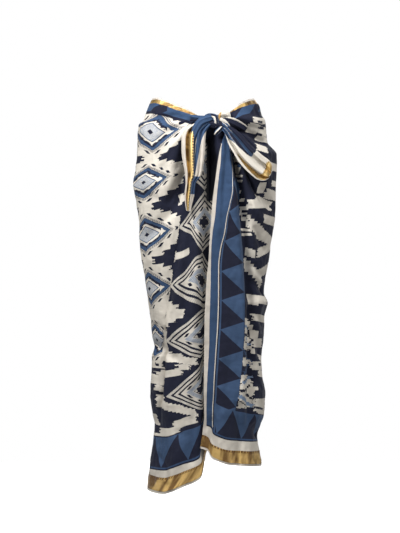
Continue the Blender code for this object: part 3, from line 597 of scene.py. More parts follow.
def on_photo(x, y):
    """How far across and up a pixel of the photograph is, in millimetres."""
    return (x - PHOTO_MIDDLE[0]) * PHOTO_SCALE, (PHOTO_MIDDLE[1] - y) * PHOTO_SCALE


LEFT, RIGHT, FRONT, BACK = curves(OUTLINE)
WAIST_HEIGHT = smooth_curve(WAIST_EDGE)
UNDER_RISE = smooth_curve(UNDER_CLOTH)
UPSTAND_HEIGHT = smooth_curve(UPSTAND)
OVER_HEM_HEIGHT = smooth_curve(OVER_HEM)
UNDER_HEM_HEIGHT = smooth_curve(UNDER_HEM)
OVER_EDGE_ACROSS = smooth_curve(OVER_EDGE)
UNDER_EDGE_ACROSS = smooth_curve(UNDER_EDGE)


def from_front(angle):
    """The same angle, counted from -180 to 180."""
    return (np.asarray(angle, float) + 180) % 360 - 180


def corner_swell(turn):
    return (1 - SQUARENESS * np.cos(4 * turn)) / (1 - SQUARENESS)


def body_points(angle, height, out=0.0):
    """Points on the plain body section, and out from it along its level normal."""
    turn = np.radians(angle)
    half_width = (RIGHT(height) - LEFT(height)) / 2
    half_depth = (BACK(height) - FRONT(height)) / 2
    x = (RIGHT(height) + LEFT(height)) / 2 + half_width * corner_swell(turn) * np.sin(turn)
    y = (BACK(height) + FRONT(height)) / 2 - half_depth * corner_swell(turn) * np.cos(turn)
    out_x, out_y = np.sin(turn) / half_width, -np.cos(turn) / half_depth
    size = np.hypot(out_x, out_y)
    x, y, height = np.broadcast_arrays(x + out * out_x / size, y + out * out_y / size, height)
    return np.stack([x, y, height], axis=-1)


def angle_across(across, height, out=0.0):
    """The angle on the front of a point that is this far across and out."""
    middle = (RIGHT(height) + LEFT(height)) / 2
    reach = (RIGHT(height) - LEFT(height)) / 2 + out
    turn = np.zeros(np.broadcast(across, height).shape)
    for _ in range(SOLVE_STEPS):
        sine = (across - middle) / reach / corner_swell(turn)
        turn = np.arcsin(np.clip(sine, -WIDEST_SINE, WIDEST_SINE))
    return np.degrees(turn)


def fold_paths(panel, front, back):
    """(depth, half width, closely spaced path) of each fold that a panel has."""
    rows = [(d, w, [(angle_across(x, z), z) for x, z in p]) for where, d, w, p in front if where == panel]
    paths = []
    for depth, width, points in [*rows, *back]:
        places = [body_points(angle, float(height)) for angle, height in points]
        path = between_rows(places, places_between(places, FOLD_STEPS))
        paths.append((depth, width, np.stack(path, axis=-1)))
    return paths


def near_path(places, path):
    """How far each place is from a path, and the share of the path at its nearest point."""
    best = np.full(len(places), np.inf)
    along = np.zeros(len(places))
    for i, (start, end) in enumerate(zip(path, path[1:])):
        step = end - start
        t = np.clip((places - start) @ step / (step @ step), 0, 1)
        away = np.linalg.norm(places - start - t[:, None] * step, axis=-1)
        closer = away < best
        best[closer] = away[closer]
        along[closer] = (i + t[closer]) / (len(path) - 1)
    return best, along


def relief(places, folds):
    """How far the folds push each place out."""
    flat = places.reshape(-1, 3)
    moved = np.zeros(len(flat))
    for depth, width, path in folds:
        reach = FOLD_REACH * width
        near = np.all((flat > path.min(axis=0) - reach) & (flat < path.max(axis=0) + reach), axis=-1)
        away, along = near_path(flat[near], path)
        ends = ease(*FOLD_RISE, along) * ease(*FOLD_FADE, along)
        moved[near] += depth * ends * np.exp(-((away / width) ** 2))
    return moved.reshape(places.shape[:-1])


def turned_in(places, moved):
    """How far the under panel turns back at the front near the hem."""
    x, z = places[..., 0], places[..., 2]
    turned = ease(*TURN_IN, x) * ease(*TURN_OUT, x) * (places[..., 1] < 0)
    return TURN_DEPTH * turned * ease(TURN_TOP, TURN_FULL, z) * (1 - ease(0, TURN_DEPTH, -moved))


def height_at(angle, down):
    """The height of the cloth at an angle, where down is 0 at the folded waist edge and 1 at the hem."""
    near = from_front(angle)
    waist = WAIST_HEIGHT(near)
    hem = np.where(np.asarray(angle) < 180, OVER_HEM_HEIGHT(near), UNDER_HEM_HEIGHT(near))
    middle = GATHER * np.exp(-((near / GATHER_WIDTH) ** 2))
    drawn = middle * (1 - down) ** 2 * (1 - np.exp(-down / GATHER_REACH))
    return waist + (hem - waist) * (down - drawn)


def free_edge_angle(down, edge_across, turn):
    """The angle of a free edge at each ring, on the given turn of the spiral."""
    angle = np.full(down.shape, float(turn))
    for _ in range(SOLVE_STEPS):
        height = height_at(angle, down)
        angle = angle_across(edge_across(height), height) + turn
    return angle


def rumple(places, seed, size, stretch):
    """Smooth uneven waves of about the given size, from -1 to 1, longer up and down than across."""
    draw = np.random.default_rng(seed)
    total = np.zeros(places.shape[:-1])
    for _ in range(RUMPLE_WAVES):
        heading = draw.normal(size=3) / (1, 1, stretch)
        length = max(np.linalg.norm(heading), RUMPLE_LEAST)
        heading *= 2 * np.pi / size / length * draw.uniform(*RUMPLE_SPAN)
        total += np.sin(places @ heading + draw.uniform(0, 2 * np.pi))
    return total / np.sqrt(RUMPLE_WAVES / 2)


def cloth_points(angle, height):
    """Points of the cloth's outer face. Below 180 degrees they are the over panel's."""
    near = from_front(angle)
    over = np.asarray(angle) < 180
    plain = body_points(near, height)
    moved = np.zeros(plain.shape[:-1])
    moved[over] = relief(plain[over], FOLDS["over"])
    moved[~over] = relief(plain[~over], FOLDS["under"])
    moved[~over] -= turned_in(plain[~over], moved[~over])
    moved[over] += relief(plain[over], CREASES["over"])
    moved[~over] += relief(plain[~over], CREASES["under"])
    for seed, size, stretch, depth in RUMPLES:
        moved += depth * rumple(plain + np.where(over, 0, RUMPLE_APART)[..., None], seed, size, stretch)
    spread = np.where(over, SPREAD, -SPREAD) * ease(SPREAD_NONE, SPREAD_FULL, np.abs(near))
    return body_points(near, height, moved + spread)


def cloth_angles(downs):
    """The angle of each ring's points, and the column where each stretch ends."""
    start = free_edge_angle(downs, OVER_EDGE_ACROSS, 0)
    parts, seams = [start[:, None]], [0]
    for _, stop, columns in STRETCHES:
        first = parts[-1][:, -1:]
        last = free_edge_angle(downs, UNDER_EDGE_ACROSS, 360)[:, None] if stop is None else stop
        parts.append(first + (last - first) * np.arange(1, columns + 1) / columns)
        seams.append(seams[-1] + columns)
    return np.concatenate(parts, axis=1), seams


def out_of(grid):
    """The outward direction at each point of a grid whose rings go down and columns to the right."""
    return unit(np.cross(np.gradient(grid, axis=0), np.gradient(grid, axis=1)))


def drawn_in(grid, at_start, at_end):
    """The grid with its first and last columns drawn a little in, so that neighbours don't touch."""
    grid = grid.copy()
    for column, neighbour, wanted in ((0, 1, at_start), (-1, -2, at_end)):
        if wanted:
            grid[:, column] += unit(grid[:, neighbour] - grid[:, column]) * SEAM
    return grid


def arc(grid, axis):
    """How far along the grid's lines each point is, in its own millimetres."""
    steps = np.linalg.norm(np.diff(grid, axis=axis), axis=-1)
    zero = np.zeros_like(np.take(steps, [0], axis=axis))
    return np.concatenate([zero, np.cumsum(steps, axis=axis)], axis=axis)


def make_piece(name, points, faces, maps, cloth, look, stands_for):
    """A piece with its places in the flat cloth, its map for baking and its material."""
    slot, material = look
    mesh = bpy.data.meshes.new(name)
    mesh.from_pydata(points * MM, [], faces)
    mesh.shade_smooth()
    for key, values in cloth.items():
        kind, field = ("FLOAT_VECTOR", "vector") if values.shape[1] == 3 else ("FLOAT", "value")
        mesh.attributes.new(key, kind, "POINT").data.foreach_set(field, values.astype(np.float32).ravel())
    layer = mesh.uv_layers.new(name="OFBake")
    layer.data.foreach_set("uv", np.concatenate(maps).astype(np.float32).ravel())
    mesh.materials.append(material)
    item = bpy.data.objects.new(name, mesh)
    bpy.context.scene.collection.objects.link(item)
    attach(item, "root")
    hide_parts(stands_for)
    return item


def shell(name, outer, normal, thickness, cloth, look, stands_for):
    """A thin closed sheet under a grid of points."""
    rings, columns = outer.shape[:2]
    count = rings * columns
    points = np.concatenate([outer, outer - normal * thickness]).reshape(-1, 3)
    index = np.arange(count).reshape(rings, columns)
    corners = [index[:-1, :-1], index[1:, :-1], index[1:, 1:], index[:-1, 1:]]
    front = np.stack(corners, axis=-1).reshape(-1, 4)
    around = np.concatenate([index[0, :-1], index[:-1, -1], index[-1, :0:-1], index[:0:-1, 0]])
    after = np.roll(around, -1)
    rim = np.stack([around, after, after + count, around + count], axis=-1)
    faces = np.concatenate([front, front[:, ::-1] + count, rim])
    data = {key: np.tile(values.reshape(count, -1), (2, 1)) for key, values in cloth.items()}
    maps = shell_maps(rings, columns, front, len(rim))
    item = make_piece(name, points, faces, maps, data, look, stands_for)
    item.data.normals_split_custom_set_from_vertices(np.concatenate([normal, -normal]).reshape(-1, 3))
    return item


def shell_maps(rings, columns, front, rim_count):
    """The outer skin, the inner skin and the rim side by side in one square."""
    ring, column = np.divmod(np.arange(rings * columns), columns)
    across = MAP_MARGIN + MAP_SKIN * column / (columns - 1)
    up = MAP_MARGIN + MAP_HEIGHT * (1 - ring / (rings - 1))
    skin = np.stack([across, up], axis=-1)
    return [skin[front], skin[front[:, ::-1]] + (MAP_INNER, 0), rim_map(rim_count)]


def rim_map(count):
    """A narrow column of small squares, one for each face of the rim."""
    low = MAP_MARGIN + MAP_HEIGHT * np.arange(count) / count
    high = low + MAP_HEIGHT / count * RIM_SHARE
    left, right = (np.full(count, side) for side in RIM_SIDES)
    corners = ((left, low), (left, high), (right, high), (right, low))
    return np.stack([np.stack(corner, axis=-1) for corner in corners], axis=1)


def pull(away):
    """How much a landmark still counts at a distance."""
    t = np.sqrt(5) * away / LANDMARK_REACH
    return (1 + t + t * t / 3) * np.exp(-t)


def hidden_by_pleat(x, z):
    """How much cloth the under panel's pleat hides to the left of each place."""
    rows = [(on_photo(across, down), hidden) for down, across, hidden in PLEAT]
    line, hidden = curves([(height, across, hides) for (across, height), hides in rows])
    return hidden(z) * (x > line(z))


def landmark_shift(places, table, at, plain, folded):
    """A smooth field that brings a flat coordinate to its landmarks' values.

    places holds the flat place of every grid point and at its own value there. table holds (across, height,
    wanted value) in the photograph's upright plane, where the folded grid shows.
    """
    wanted = [row for row in table if row[2] is not None]
    seen = folded.reshape(-1, 3)
    flat = places.reshape(-1, 2)
    nearest = [nearest_place(seen, across, height) for across, height, _ in wanted]
    anchors = flat[nearest]
    shifts = np.array([row[2] for row in wanted]) - at.reshape(-1)[nearest]
    plane = np.column_stack([np.ones(len(anchors)), anchors / LANDMARK_REACH])
    spread = np.linalg.norm(anchors[:, None] - anchors[None], axis=-1)
    pulls = pull(spread) + LANDMARK_SLACK * np.eye(len(anchors))
    whole = np.block([[pulls, plane], [plane.T, np.zeros((3, 3))]])
    weights = np.linalg.solve(whole, np.concatenate([shifts, np.zeros(3)]))
    shift = weights[-3] + flat @ weights[-2:] / LANDMARK_REACH
    shift = shift * ease(*PLANE_FADE, plain.reshape(-1, 3)[:, 1])
    for anchor, weight in zip(anchors, weights):
        shift += weight * pull(np.linalg.norm(flat - anchor, axis=-1))
    return at + shift.reshape(at.shape)


def nearest_place(seen, across, height):
    """The index of the front point that shows nearest to a place of the photograph."""
    away = np.hypot(seen[:, 0] - across, seen[:, 2] - height) + BEHIND * (seen[:, 1] > 0)
    return int(away.argmin())


class Value:
    """A number in a material's node tree. Arithmetic on it adds the nodes that work it out."""

    def __init__(self, tree, socket):
        self.tree, self.socket = tree, socket

    def maths(self, operation, *others):
        node = self.tree.nodes.new("ShaderNodeMath")
        node.operation = operation
        fill(self.tree, node, self, *others)
        return Value(self.tree, node.outputs[0])

    __add__ = partialmethod(maths, "ADD")
    __sub__ = partialmethod(maths, "SUBTRACT")
    __mul__ = __and__ = partialmethod(maths, "MULTIPLY")
    __truediv__ = partialmethod(maths, "DIVIDE")
    __mod__ = partialmethod(maths, "FLOORED_MODULO")
    __lt__ = partialmethod(maths, "LESS_THAN")
    __gt__ = partialmethod(maths, "GREATER_THAN")
    __or__ = partialmethod(maths, "MAXIMUM")
    __abs__ = partialmethod(maths, "ABSOLUTE")

    def __invert__(self):
        return self * -1.0 + 1.0

    def within(self, low, high):
        return self.maths("COMPARE", (low + high) / 2, (high - low) / 2)

    def stepped(self, size):
        return (self / size).maths("FLOOR") * size + size / 2

    def off_nearest(self, step):
        return abs((self + step / 2) % step - step / 2)

    def wave(self, length):
        return (self * (2 * math.pi / length)).maths("SINE")

    def spread(self, strength, base):
        return self * strength + base


def fill(tree, node, *values):
    """Sets a node's first inputs: links a value that other nodes work out, and writes a plain number in."""
    for slot, value in zip(node.inputs, values):
        if isinstance(value, Value):
            tree.links.new(value.socket, slot)
        else:
            slot.default_value = value


def attribute(tree, name):
    """A number stored on the mesh."""
    node = tree.nodes.new("ShaderNodeAttribute")
    node.attribute_name = name
    return Value(tree, node.outputs["Fac"])


def joined(tree, *values):
    node = tree.nodes.new("ShaderNodeCombineXYZ")
    fill(tree, node, *values)
    return node.outputs[0]


def jagged(tree, u, v, length, depth):
    """How far the print's ends are off: a random step for each row of threads and stretch of the cloth."""
    node = tree.nodes.new("ShaderNodeTexWhiteNoise")
    node.noise_dimensions = "2D"
    place = joined(tree, (v / JAG_ROW).maths("FLOOR"), (u / length).maths("FLOOR"), 0.0)
    tree.links.new(place, node.inputs["Vector"])
    return (Value(tree, node.outputs["Value"]) - 0.5) * depth


def noise(tree, vector, scale, detail):
    node = tree.nodes.new("ShaderNodeTexNoise")
    node.inputs["Scale"].default_value = scale
    node.inputs["Detail"].default_value = detail
    tree.links.new(vector, node.inputs["Vector"])
    return Value(tree, node.outputs["Fac"])


def grain(tree, across, along, detail=2):
    """A noise drawn out along the threads."""
    return noise(tree, joined(tree, across, along, 0.0), 1.0, detail)


def layered(tree, colour, *layers):
    """A colour with others laid over it in turn, each where its mask is 1."""
    for over, mask in layers:
        node = tree.nodes.new("ShaderNodeMix")
        node.data_type = "RGBA"
        tree.links.new(mask.socket, node.inputs[0])
        for slot, value in ((node.inputs[6], colour), (node.inputs[7], over)):
            if isinstance(value, tuple):
                slot.default_value = (*value, 1)
            else:
                tree.links.new(value, slot)
        colour = node.outputs[2]
    return colour


def scaled(tree, colour, factor):
    """A colour made lighter or darker by a number."""
    node = tree.nodes.new("ShaderNodeVectorMath")
    node.operation = "SCALE"
    tree.links.new(colour, node.inputs[0])
    tree.links.new(factor.socket, node.inputs["Scale"])
    return node.outputs[0]


def bump(tree, shader, *layers):
    """Height layers, each with its depth in millimetres, added to a shader's normal."""
    normal = None
    for height, depth in layers:
        node = tree.nodes.new("ShaderNodeBump")
        node.inputs["Distance"].default_value = depth * MM
        tree.links.new(height.socket, node.inputs["Height"])
        if normal:
            tree.links.new(normal, node.inputs["Normal"])
        normal = node.outputs[0]
    tree.links.new(normal, shader.inputs["Normal"])


def bump_threads(tree, shader, vector, u, v):
    """The voile's threads and its crumples."""
    threads = u.wave(THREAD) * 0.5 + v.wave(THREAD) * 0.5
    *crumples, depth = CRUMPLES
    bump(tree, shader, (threads, THREAD_DEPTH), (noise(tree, vector, *crumples), depth))


def new_material(name, roughness, metallic=0.0, sheen=0.0):
    material = bpy.data.materials.new(name)
    material.use_nodes = True
    shader = material.node_tree.nodes["Principled BSDF"]
    shader.inputs["Roughness"].default_value = roughness
    shader.inputs["Metallic"].default_value = metallic
    shader.inputs["Sheen Weight"].default_value = sheen
    shader.inputs["Specular IOR Level"].default_value = SPECULAR
    return material, material.node_tree, shader


def flat_place(tree):
    """The place in the flat cloth: as a vector, and how far round, up, and below the folded waist edge."""
    place = tree.nodes.new("ShaderNodeAttribute")
    place.attribute_name = "cloth"
    node = tree.nodes.new("ShaderNodeSeparateXYZ")
    tree.links.new(place.outputs["Vector"], node.inputs[0])
    return place.outputs["Vector"], *(Value(tree, output) for output in node.outputs)


def slanting_rows(across, up, length):
    return abs((across + up * 0.6).wave(length))


def dots(across, up):
    return abs((across + up).wave(DOTS)) & abs((across - up).wave(DOTS))


def leaves(across, step, off_ring, half):
    """A row of small leaves along a ring of a lozenge."""
    return abs((across % step) - step / 2) / LEAF + abs(off_ring) / half < 1


def lozenge_field(tree, u, v, foot):
    """The all-over pattern: two kinds of lozenge at the same levels and stepped stars between them, with navy
    painted as shade in the slit under the knot.

    A lozenge is measured from 0 at its middle to 1 at its tips, so its rings are shares of it. The stars and
    the hearts are measured in millimetres.
    """
    off_level = (v - LEVEL).off_nearest(LEVEL_STEP)
    off_half = abs((v - LEVEL) % LEVEL_STEP - LEVEL_STEP / 2)
    from_plain = u.off_nearest(PERIOD)
    from_ringed = abs(u % PERIOD - PERIOD / 2)
    from_star = from_plain - PERIOD / 4  # positive on the side of the ringed lozenges
    jag, fine_jag = (jagged(tree, u, v, *sizes) for sizes in JAGS)
    upper, lower = v > UPPER_STARS, v < LOWER_STARS
    none_low = lower * 9  # takes the plain lozenges out of the lowest row
    ragged_star, lean = from_star + jag, from_star + fine_jag

    # The ground and the stepped stars.
    steps = off_half.stepped(STAR_STEP)
    lift = (v - LEVEL).stepped(LEVEL_STEP) - LEVEL_STEP / 2
    star = abs(ragged_star) / STAR[0] + steps / STAR[1]
    stem, bar = (lean.within(first, last) & (off_half < half) for first, last, half in (STEM, BAR))
    width, height = (lift.spread(*sizes) for sizes in zip(ARROW_LIFT, ARROW))
    arrow = ragged_star / width + steps / height
    back = ragged_star / ARROW_BACK[0] + steps / ARROW_BACK[1]
    small = abs(lean + SMALL_PLACE) / SMALL[0] + off_half / SMALL[1]
    colour = layered(
        tree, CREAM,
        (NAVY, (ragged_star > 0) | lower),
        (NAVY, (star < 1) & upper),
        (CREAM, (stem | bar) & upper),
        (CREAM, (arrow < 1) & (back < 1) & ~upper),
        (NAVY, (small < 1) & ~upper),
        (foot, u.within(*FOOT_ROUND) & (v < FOOT_TOP)),
    )

    # The plain lozenges, with a blue outline.
    plain = from_plain / LOZENGE[0] + off_level / LOZENGE[1] + none_low
    ragged = plain + jag * 0.008
    rows = slanting_rows(from_plain, off_level, 5.2)
    heart = from_plain / HEART[0] + off_level / HEART[1] + none_low
    core = from_plain / CORE[0] + off_level / CORE[1] + none_low
    colour = layered(
        tree, colour,
        (CREAM, plain < 0.9),
        (NAVY, leaves(from_plain, 24, plain - 0.83, 0.062)),
        (NAVY, plain.within(0.625, 0.735)),
        (CREAM, (plain.within(0.64, 0.675) | plain.within(0.69, 0.725)) & (rows > 0.45)),
        (BLUE, plain < 0.63),
        (NAVY, (ragged < 0.51) & (plain < 0.52) & (from_plain < 42)),
        (CREAM, (ragged < 0.41) | ((ragged < 0.49) & (from_plain > 36))),
        (NAVY, heart < HEART_RINGS[0]),
        (PALE_BLUE, heart < HEART_RINGS[1]),
        (CREAM, (heart < HEART_RINGS[2]) & (dots(from_plain, off_level) > 0.34)),
        (NAVY, core < 1),
    )

    # The ringed lozenges, with rows of dashes.
    ringed = from_ringed / LOZENGE[0] + off_level / LOZENGE[1]
    dotted = layered(tree, CREAM, (NAVY, slanting_rows(from_ringed, off_level, 6) < 0.20))
    core = (from_ringed + fine_jag) / RINGED_CORE[0] + off_level.stepped(CORE_STEP) / RINGED_CORE[1]
    return layered(
        tree, colour,
        (NAVY, ringed < 1.03),
        (dotted, ringed.within(0.885, 0.995) | ringed.within(0.715, 0.815)),
        (CREAM, ringed < 0.64),
        (NAVY, leaves(from_ringed, 26, ringed - 0.55, 0.06) & (ringed < 0.62)),
        (PALE_BLUE, ringed.within(0.30, 0.47) & (dots(from_ringed, off_level) < 0.5)),
        (NAVY, ringed.within(0.25, 0.275)),
        (NAVY, core < 1),
        # Painted shade: navy over the print where the hollow slit under the knot lies.
        (NAVY, (u + jag).within(*SLIT_ROUND) & (v > SLIT_FOOT)),
    )


def charted_field(tree, u, v, patches):
    """A charted part of the print: slanting patches on navy, with jagged ends."""
    ragged, steps = u + jagged(tree, u, v, *CHART_JAG), u.stepped(CHART_STEP)
    layers = []
    for (first_u, first_v), (last_u, last_v), half, shade in patches:
        slope = (last_v - first_v) / (last_u - first_u)
        round_it = ragged if abs(last_u - first_u) > CHART_RAGGED else u
        middle = first_v - slope * first_u
        sides = steps.maths("MULTIPLY_ADD", -slope, v).within(middle - half, middle + half)
        layers.append((SHADES[shade], round_it.within(*sorted((first_u, last_u))) & sides))
    return layered(tree, NAVY, *layers)


def make_print(under_patches, over_patches):
    """The printed voile, in the flat cloth's millimetres."""
    material, tree, shader = new_material("printed_voile_print", CLOTH_ROUGHNESS, sheen=CLOTH_SHEEN)
    vector, u, v, below = flat_place(tree)
    edge, band = attribute(tree, "edge"), attribute(tree, "band")
    foot, beside = (charted_field(tree, u, v, patches) for patches in (under_patches, over_patches))

    # The triangles along the hem, and the band's along the free edge.
    triangle_top = TRIANGLE_FOOT + TRIANGLE_RISE
    rise = (v - TRIANGLE_FOOT) / TRIANGLE_RISE
    side = abs(u / TRIANGLE_SPAN - (u / TRIANGLE_SPAN).maths("FLOOR") - 0.5) * 2
    triangles = layered(tree, LIGHT_BLUE, (NAVY, (side + rise) < 1))
    depth = (edge - BAND_FOOT) / BAND_SPAN
    fall = band % BAND_STEP / BAND_STEP
    pointed = (fall < ~(depth * BAND_LEAN[1])) & (fall > depth * BAND_LEAN[0])
    in_band = (edge < BAND_FOOT + BAND_SPAN) & (v > triangle_top)

    # The border that shows under the folded waist edge.
    block = (u + below * BLOCK_LEAN) % BLOCK_SPAN < BLOCK_WIDTH
    blocks = block & ((u > OVER_START / 2) | (u < BLOCK_END))
    folded = layered(tree, BLUE, (NAVY, below > UNDER_FOLD_BLUE), (NAVY, blocks))

    colour = layered(
        tree, lozenge_field(tree, u, v, foot),
        (beside, u.within(OVER_START, OVER_START + CHART_WIDTH)),
        (triangles, v < triangle_top),
        (NAVY, v.within(triangle_top, triangle_top + HEM_LINE)),
        (LIGHT_BLUE, in_band),
        (NAVY, pointed & in_band),
        (NAVY, edge.within(*BAND_LINE) & (v > triangle_top)),
        *((shade, edge.within(*span)) for shade, *span in EDGE_LINES),
        *((shade, v.within(*span)) for shade, *span in HEM_LINES),
        (CREAM, v < HEM_CREAM),
        (SELVAGE, (v < HEM_SELVAGE) | (edge < EDGE_SELVAGE)),
        (folded, below.within(0.0, UNDER_FOLD) & (edge > BAND_LINE[1])),
        (KNOT_GOLD, below < GOLD_FOLD / 2),
    )

    # Threads, and unevenness in the dye.
    dye = noise(tree, vector, *CLOUDS).spread(*DYE)
    slub = grain(tree, u * RUN, v * THIN).spread(*SLUB)
    warp = grain(tree, u * THIN, v * RUN).spread(*WARP)
    tree.links.new(scaled(tree, colour, dye * slub * warp), shader.inputs["Base Color"])
    bump_threads(tree, shader, vector, u, v)
    return material


def make_cream():
    """The cream border and its selvage."""
    material, tree, shader = new_material("cream_voile", CLOTH_ROUGHNESS, sheen=CLOTH_SHEEN)
    vector, u, v, _ = flat_place(tree)
    slub = grain(tree, u * RUN, v * THIN).spread(*CREAM_SLUB)
    colour = layered(tree, CREAM, (SELVAGE, v < HEM_SELVAGE))
    tree.links.new(scaled(tree, colour, slub), shader.inputs["Base Color"])
    bump_threads(tree, shader, vector, u, v)
    return material


def make_gold():
    """The woven ribbon: metal threads, darker streaks at random, brown stitches along its inner edge, and a
    painted highlight where a piece asks for one.
    """
    material, tree, shader = new_material("gold_ribbon_weave", GOLD_ROUGHNESS, metallic=GOLD_METAL)
    vector, u, v, _ = flat_place(tree)
    # Darker streaks laid at random along the ribbon.
    streaks = (grain(tree, u * STREAK_RUN, v * STREAK_THIN, STREAK_DETAIL) - STREAK_FROM) * STREAK_RATE
    streak_mix = streaks.maths("MINIMUM", 1.0).maths("MAXIMUM", 0.0)
    # Bright gold is laid on as a painted highlight where the piece's shine attribute asks for it.
    colour = layered(tree, DARK_GOLD, (GOLD, streak_mix), (PAINTED_HIGHLIGHT_GOLD, attribute(tree, "shine")))
    thread, weft = abs(u.wave(GOLD_THREADS[0])), abs(v.wave(GOLD_THREADS[1]))
    colour = scaled(tree, colour, thread.spread(*GOLD_THREAD_LOOK))
    stitch = v.within(*STITCHES) & (u % STITCH_STEP < STITCH_LENGTH)
    colour = layered(tree, colour, (STITCH, stitch | v.within(*STITCH_LINE)))
    tree.links.new(colour, shader.inputs["Base Color"])
    *crumples, depth = GOLD_CRUMPLES
    bump(tree, shader, (thread * 0.6 + weft * 0.4, GOLD_DEPTH), (noise(tree, vector, *crumples), depth))
    return material


FOLDS, CREASES = (
    {panel: fold_paths(panel, front, back) for panel in ("over", "under")}
    for front, back in ((FRONT_FOLDS, BACK_FOLDS), (FRONT_CREASES, BACK_CREASES))
)


def cloth_places(grid, plain, seams, near, downs):
    """The flat cloth's coordinates on the wrap: round, up, below the fold, and the plain way round."""
    round_it = arc(plain, 1)
    below = arc(plain, 0)
    up = below[-1:] - below
    flat = np.stack([round_it, up], axis=-1)
    u, v = np.zeros_like(up), np.zeros_like(up)
    middle = (seams[1] + seams[2]) // 2
    for columns, table, offset in (
        (slice(0, middle), OVER_PLACES, OVER_START), (slice(middle, None), UNDER_PLACES, 0),
    ):
        places = [(*on_photo(x, y), *wanted) for x, y, *wanted in table]
        rise = up[:, columns]
        across = [(x, z, wanted) for x, z, wanted, _ in places]
        height = [(x, z, wanted) for x, z, _, wanted in places]
        forms = (plain[:, columns], grid[:, columns])
        if offset:
            x, z, wanted = next(row for row in across if row[2] is not None)
            start = round_it[:, columns]
            start = start - start.flat[nearest_place(forms[1].reshape(-1, 3), x, z)] + wanted
            hidden = 0
        else:
            start = round_it[:, columns] - round_it[:, seams[3]: seams[3] + 1] - LEFT_OF_MIDDLE
            from_waist = ease(*FROM_WAIST, downs[:, None])
            rise = rise + (UNDER_RISE(near[:, columns]) - below[:, columns] - rise) * from_waist
            across = [(x, z, w if w is None else w - float(hidden_by_pleat(x, z))) for x, z, w in across]
            hidden = hidden_by_pleat(forms[1][..., 0], forms[1][..., 2]) * (forms[1][..., 1] < 0)
        u[:, columns] = landmark_shift(flat[:, columns], across, start, *forms) + hidden + offset
        v[:, columns] = landmark_shift(flat[:, columns], height, rise, *forms)
    return u, v, below, round_it


def band_places(grid):
    """How far in from the free edge each point is, by lines read off the photograph, and the band's phase."""
    x, z = grid[:, :, 0], grid[:, :, 2]
    rows = [[on_photo(0, down)[1], *(on_photo(at, 0)[0] for at in places)] for down, *places in BAND_LINES]
    selvage, plain, field = (line(z) for line in curves(rows))
    start = x[:, :1]
    edge = np.full(x.shape, FAR_OFF)
    near = (np.arange(x.shape[1]) < STRETCHES[0][2]) & (grid[:, :, 1] < 0)
    stops = (0, EDGE_SELVAGE, EDGE_PLAIN, BAND_INNER)
    for low, high, first, last in zip((start, selvage, plain), (selvage, plain, field), stops, stops[1:]):
        share = (x - low) / np.maximum(high - low, 1)
        inside = (share >= 0) & (share <= 1) & near
        edge[inside] = (first + (last - first) * share)[inside]
    edge[(x < start) & near] = 0
    edge[(edge == FAR_OFF) & (x > start) & (x < field) & near] = EDGE_SELVAGE / 2
    heights = sorted(on_photo(0, down)[1] for down in BAND_APEXES)
    steps = [(height, BAND_STEP * i) for i, height in enumerate(heights)]
    low, high = steps[0], steps[-1]
    steps = [(low[0] - BAND_STEP * 3, -BAND_STEP * 3), *steps, (high[0] + BAND_ON, high[1] + BAND_ON)]
    return edge, np.interp(z, *zip(*steps))


def lay_out_wrap():
    """The wrap's grid, its normals and the print's places on it."""
    top, foot = 1 - RIBBON_TOP / CLOTH_HEIGHT, 1 - RIBBON_FOOT / CLOTH_HEIGHT
    downs = np.concatenate([
        np.linspace(0, top, UPPER_RINGS + 1),
        np.linspace(top, foot, RIBBON_RINGS + 1)[1:],
        np.linspace(foot, 1, FOOT_RINGS + 1)[1:],
    ])
    angles, seams = cloth_angles(downs)
    heights = height_at(angles, downs[:, None])
    grid = cloth_points(angles, heights)
    plain = body_points(from_front(angles), heights)
    u, v, below, round_it = cloth_places(grid, plain, seams, from_front(angles), downs)
    edge, band = band_places(grid)
    x, y, z = (grid[..., i] for i in range(3))
    # The under panel's points in the slit take the place where the navy is painted as shade.
    slit = (u < OVER_START / 2) & (x > SLIT_LEFT) & (y < 0) & (z > SLIT_LOW)
    u, v = np.where(slit, sum(SLIT_ROUND) / 2, u), np.where(slit, SLIT_FOOT + SLIT_RISE, v)
    place = np.stack([u, v, below], axis=-1)
    return grid, out_of(grid), angles, seams, place, edge, band, round_it


def patches_on(grid, place, over, chart):
    """The charted patches of one panel, with their ends as places of the flat cloth."""
    mine = (place[..., :1] > OVER_START / 2) == over
    seen = np.where(mine, grid, (0, BEHIND, 0)).reshape(-1, 3)
    flat = place.reshape(-1, 3)
    found = []
    for shade, patches in chart:
        for *ends, half in patches:
            nearest = [nearest_place(seen, *on_photo(*end)) for end in (ends[:2], ends[2:])]
            found.append((*flat[nearest, :2].tolist(), half * PHOTO_SCALE, shade))
    return found


def make_ribbon(name, under, normal, lift, cloth, looks, stands_for):
    """A ribbon over a grid of points, or under them where the lift is negative."""
    return shell(name, under + normal * lift, normal, RIBBON, cloth, looks["gold"], stands_for)


def make_wrap(layout, looks):
    """The cloth round the body and the ribbon along its hem."""
    grid, normal, _, seams, place, edge, band, round_it = layout
    rings = slice(UPPER_RINGS, UPPER_RINGS + RIBBON_RINGS + 1)
    for (name, stop, _), first, last in zip(STRETCHES, seams, seams[1:]):
        part = slice(first, last + 1)
        cloth = drawn_in(grid[:, part], first > 0, stop is not None)
        data = {"cloth": place[:, part], "edge": edge[:, part], "band": band[:, part]}
        voile = name.replace("cloth", "voile")
        piece = shell(voile, cloth, normal[:, part], SHEET, data, looks["print"], name)
        along = round_it[rings, part]
        ups = np.linspace(RIBBON_TOP, RIBBON_FOOT, RIBBON_RINGS + 1)[:, None] + 0 * along
        ribbon = make_ribbon(
            name.replace("cloth", "ribbon"), cloth[rings], normal[rings, part], GAP + RIBBON,
            {"cloth": np.stack([along, ups, ups], axis=-1)}, looks, name.replace("cloth", "hem_ribbon"),
        )


